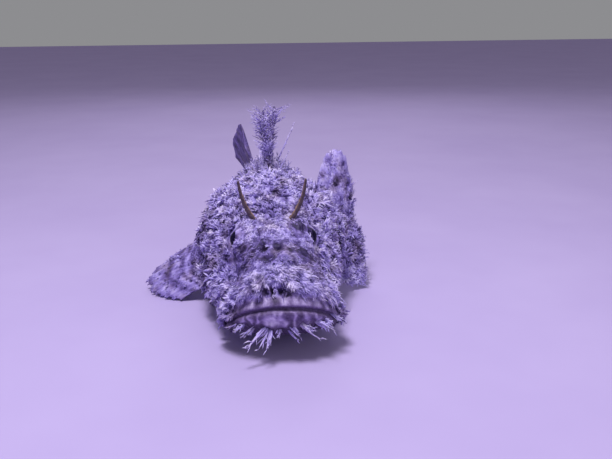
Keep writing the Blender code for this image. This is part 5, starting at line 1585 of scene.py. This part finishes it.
# Two thin strands on the plume's left
STRAND_ROOTS = mm((4.0, 86.0, 74.0), (4.6, 86.0, 69.0))
STRAND_STARTS = np.array([(0.46, 0.0, 0.89), (0.60, 0.0, 0.80)])
STRAND_ENDS = np.array([(0.36, 0.0, 0.93), (0.30, 0.0, 0.95)])
STRAND_LENGTHS = mm(22.0, 12.0)
STRAND_WIDTH = 0.0014
THORN_WIDTH = 0.0016
THORN_THICKNESS = 0.0011
THORN_SINK = 0.001
# Thorns of the gill cover, the nape and the brow: along in mm, degrees up from the side, length in mm
HEAD_SPINES = (
    (57.5, -8, 6.0), (59.0, -28, 4.5), (61.0, -46, 3.6), (70.0, 34, 4.5), (62.0, 62, 3.6), (48.0, 66, 3.0),
)


def spine_sites(index, count, low, high, seed):
    """Seeded places round one spine of the plume, between two shares of its height."""
    random = np.random.default_rng(seed)
    root, tip = spine_line(index)
    way = unit(tip - root)
    share = low + (high - low) * (np.arange(count) + random.uniform(size=count)) / count
    turn = index + np.arange(count) * 2.4 + random.normal(0, 0.4, count)
    normal = square_to(stacked(np.cos(turn), np.sin(turn), 0), way)
    point = root + scaled(tip - root, share) + normal * SPINE_RADIUS
    return Sites(point=point, normal=normal, way=way, share=share, uv=fin_uv(2, 0.1 + 0.2 * index, share),
                 random=random, count=count)


def make_plume():
    """Lacy tuft on the first back spines: small flaps all the way up, and branches, longest near the tip."""
    batches, tufts, shafts = ([], []), [], []
    for index, largest in enumerate(PLUME_SIZES):
        root, tip = spine_line(index)
        sites = spine_sites(index, PLUME_FRONDS, 0.34, 0.94, 140 + index)
        way, shaft_uv = sites.way, sites.uv[0]
        grown = past(sites.share, 0.42, 0.45)
        size = (BRANCH_LEAST + (largest - BRANCH_LEAST) * grown) * sites.even(0.55, 1.12)
        start = unit(sites.normal + way * 0.45 + sites.normals(0.15, 3))
        end = sites.normal * 0.8 + scaled(way, 0.9 - 0.42 * grown) + sites.normals(0.25, 3)
        across = unit(np.cross(start, way) + sites.normals(0.35, 3))
        tone = 0.48 + 0.28 * past(sites.share, 0.45, 0.5) + sites.normals(0.09)
        add_fronds(batches, sites, 0.0, start, end, across, size, BRANCH_WIDTH, tone, 4)

        sites = spine_sites(index, PLUME_TUFTS, 0.15, 0.97, 150 + index)
        lie = unit(way + 0.6 * np.cross(sites.normal, way) * sites.normals(1.0, 1))
        length = PLUME_FLAP_LENGTH * sites.factors(0.3)
        tone = 0.42 + 0.16 * sites.share + sites.normals(0.12)
        add_tufts(tufts, sites, length, lie, tone, 0.9, 0.8, 0.22, 0.66)
        length = np.linalg.norm(tip - root) * 0.97
        add_fingers(shafts, root, way, way, (1.0, 0.0, 0.0), length, SHAFT_WIDTH, SHAFT_THICKNESS, 0.40,
                    (0.0, 0.5), shaft_uv, 0.0)
    strands = spine_sites(2, 2, 0.50, 0.56, 160)
    strands.point = STRAND_ROOTS
    across = np.array([(0.0, 1.0, 0.0)] * 2)
    add_fronds(batches, strands, 0.0, STRAND_STARTS, STRAND_ENDS, across,
               STRAND_LENGTHS, STRAND_WIDTH, 0.84, 9, 0.17)
    frond_mesh("spine_plume", batches, "spiny_fin_skin")
    finger_mesh("spine_flaps", np.concatenate(tufts), PLAIN_STEPS, "spiny_fin_skin")
    finger_mesh("spine_shafts", np.concatenate(shafts), FINE_STEPS, "spiny_fin_skin")


def make_bony_points():
    """Small thorns of the gill cover, the nape and the brow, that point backwards."""
    batch = []
    for side in (1, -1):
        for along, degrees, length in HEAD_SPINES:
            turn = math.radians(degrees)
            ring, angle = ring_of(np.array(along / 1000)), np.array(turn if side > 0 else math.pi - turn)
            normal = outward(ring, angle)
            way = unit(0.55 * normal + (0.0, 0.84, 0.0))
            root = skin_point(ring, angle) - normal * THORN_SINK
            add_fingers(batch, root, way, way, np.cross(way, normal), length / 1000 + THORN_SINK, THORN_WIDTH,
                        THORN_THICKNESS, 0.55, (0.0, 0.4), skin_uv(ring, angle), 0.0)
    finger_mesh("bony_points", np.concatenate(batch), FINE_STEPS, "head_skin")


make_plume()
make_bony_points()


# Floor, light and camera

FLOOR_HALF = 3.0
FLOOR_DEPTH = 0.01
FLOOR_TOP = -0.0001
HEAD_MIDDLE = Vector((0.0, -0.09, 0.035))
# Soft lights: place, size, power
LIGHTS = {
    "key_light": ((-0.10, -0.28, 0.80), 0.20, 6.2),
    "fill_light": ((0.60, -0.70, 0.35), 0.50, 1.15),
    "back_light": ((0.10, 0.70, 0.60), 0.60, 1.6),
}
ROOM_COLOUR = (0.86, 0.86, 0.90, 1.0)
ROOM_STRENGTH = 0.31
CAMERA_PLACE = np.array([-0.0266, -0.3041, 0.1510])
CAMERA_TURN = math.radians(6.71)
CAMERA_DIP = math.radians(16.22)
CAMERA_ROLL = math.radians(-0.47)
CAMERA_LENS = 45.0
CAMERA_SENSOR = 36.0


def make_floor():
    """Square plate just under the fish: matt pale lilac, with the faintest unevenness."""
    look = Look("pale_floor", 0.9, 0.1)
    look.colour(look.ramp(look.noise(9.0), FLOOR_STOPS))
    low = np.array([-FLOOR_HALF, -FLOOR_HALF, -FLOOR_DEPTH])
    high = np.array([FLOOR_HALF, FLOOR_HALF, FLOOR_TOP])
    corners = np.array([[x, y, z] for z in (0, 1) for y in (0, 1) for x in (0, 1)])
    quads = np.array([(0, 2, 3, 1), (4, 5, 7, 6), (0, 1, 5, 4), (2, 6, 7, 3), (0, 4, 6, 2), (1, 3, 7, 5)])
    made = fill_mesh("pale_floor", low + (high - low) * corners, [quads])
    made.data.shade_flat()
    made.data.materials.append(look.material)


def make_light():
    """Square soft lights that face the head, and a dim pale room."""
    for name, (place, size, power) in LIGHTS.items():
        lamp = bpy.data.lights.new(name, "AREA")
        lamp.shape = "SQUARE"
        lamp.size = size
        lamp.energy = power
        made = bpy.data.objects.new(name, lamp)
        made.location = place
        made.rotation_euler = (HEAD_MIDDLE - Vector(place)).to_track_quat("-Z", "Y").to_euler()
        bpy.context.scene.collection.objects.link(made)
    world = bpy.data.worlds.new("pale_room")
    bpy.context.scene.world = world
    world.use_nodes = True
    background = world.node_tree.nodes["Background"]
    background.inputs["Color"].default_value = ROOM_COLOUR
    background.inputs["Strength"].default_value = ROOM_STRENGTH


def make_camera():
    """Camera at the photograph's viewing angle: forward from turn and dip, then rolled."""
    level = math.cos(CAMERA_DIP)
    forward = Vector((math.sin(CAMERA_TURN) * level, math.cos(CAMERA_TURN) * level, -math.sin(CAMERA_DIP)))
    right = forward.cross(Vector((0.0, 0.0, 1.0))).normalized()
    above = right.cross(forward)
    sine, cosine = math.sin(CAMERA_ROLL), math.cos(CAMERA_ROLL)
    lens = bpy.data.cameras.new("camera")
    lens.lens = CAMERA_LENS
    lens.sensor_width = CAMERA_SENSOR
    lens.clip_start = 0.01
    made = bpy.data.objects.new("camera", lens)
    axes = Matrix((cosine * right + sine * above, cosine * above - sine * right, -forward))
    made.matrix_world = Matrix.Translation(Vector(CAMERA_PLACE + SHIFT)) @ axes.transposed().to_4x4()
    bpy.context.scene.collection.objects.link(made)
    bpy.context.scene.camera = made


make_floor()
make_light()
make_camera()
bpy.context.scene.view_settings.view_transform = "Standard"
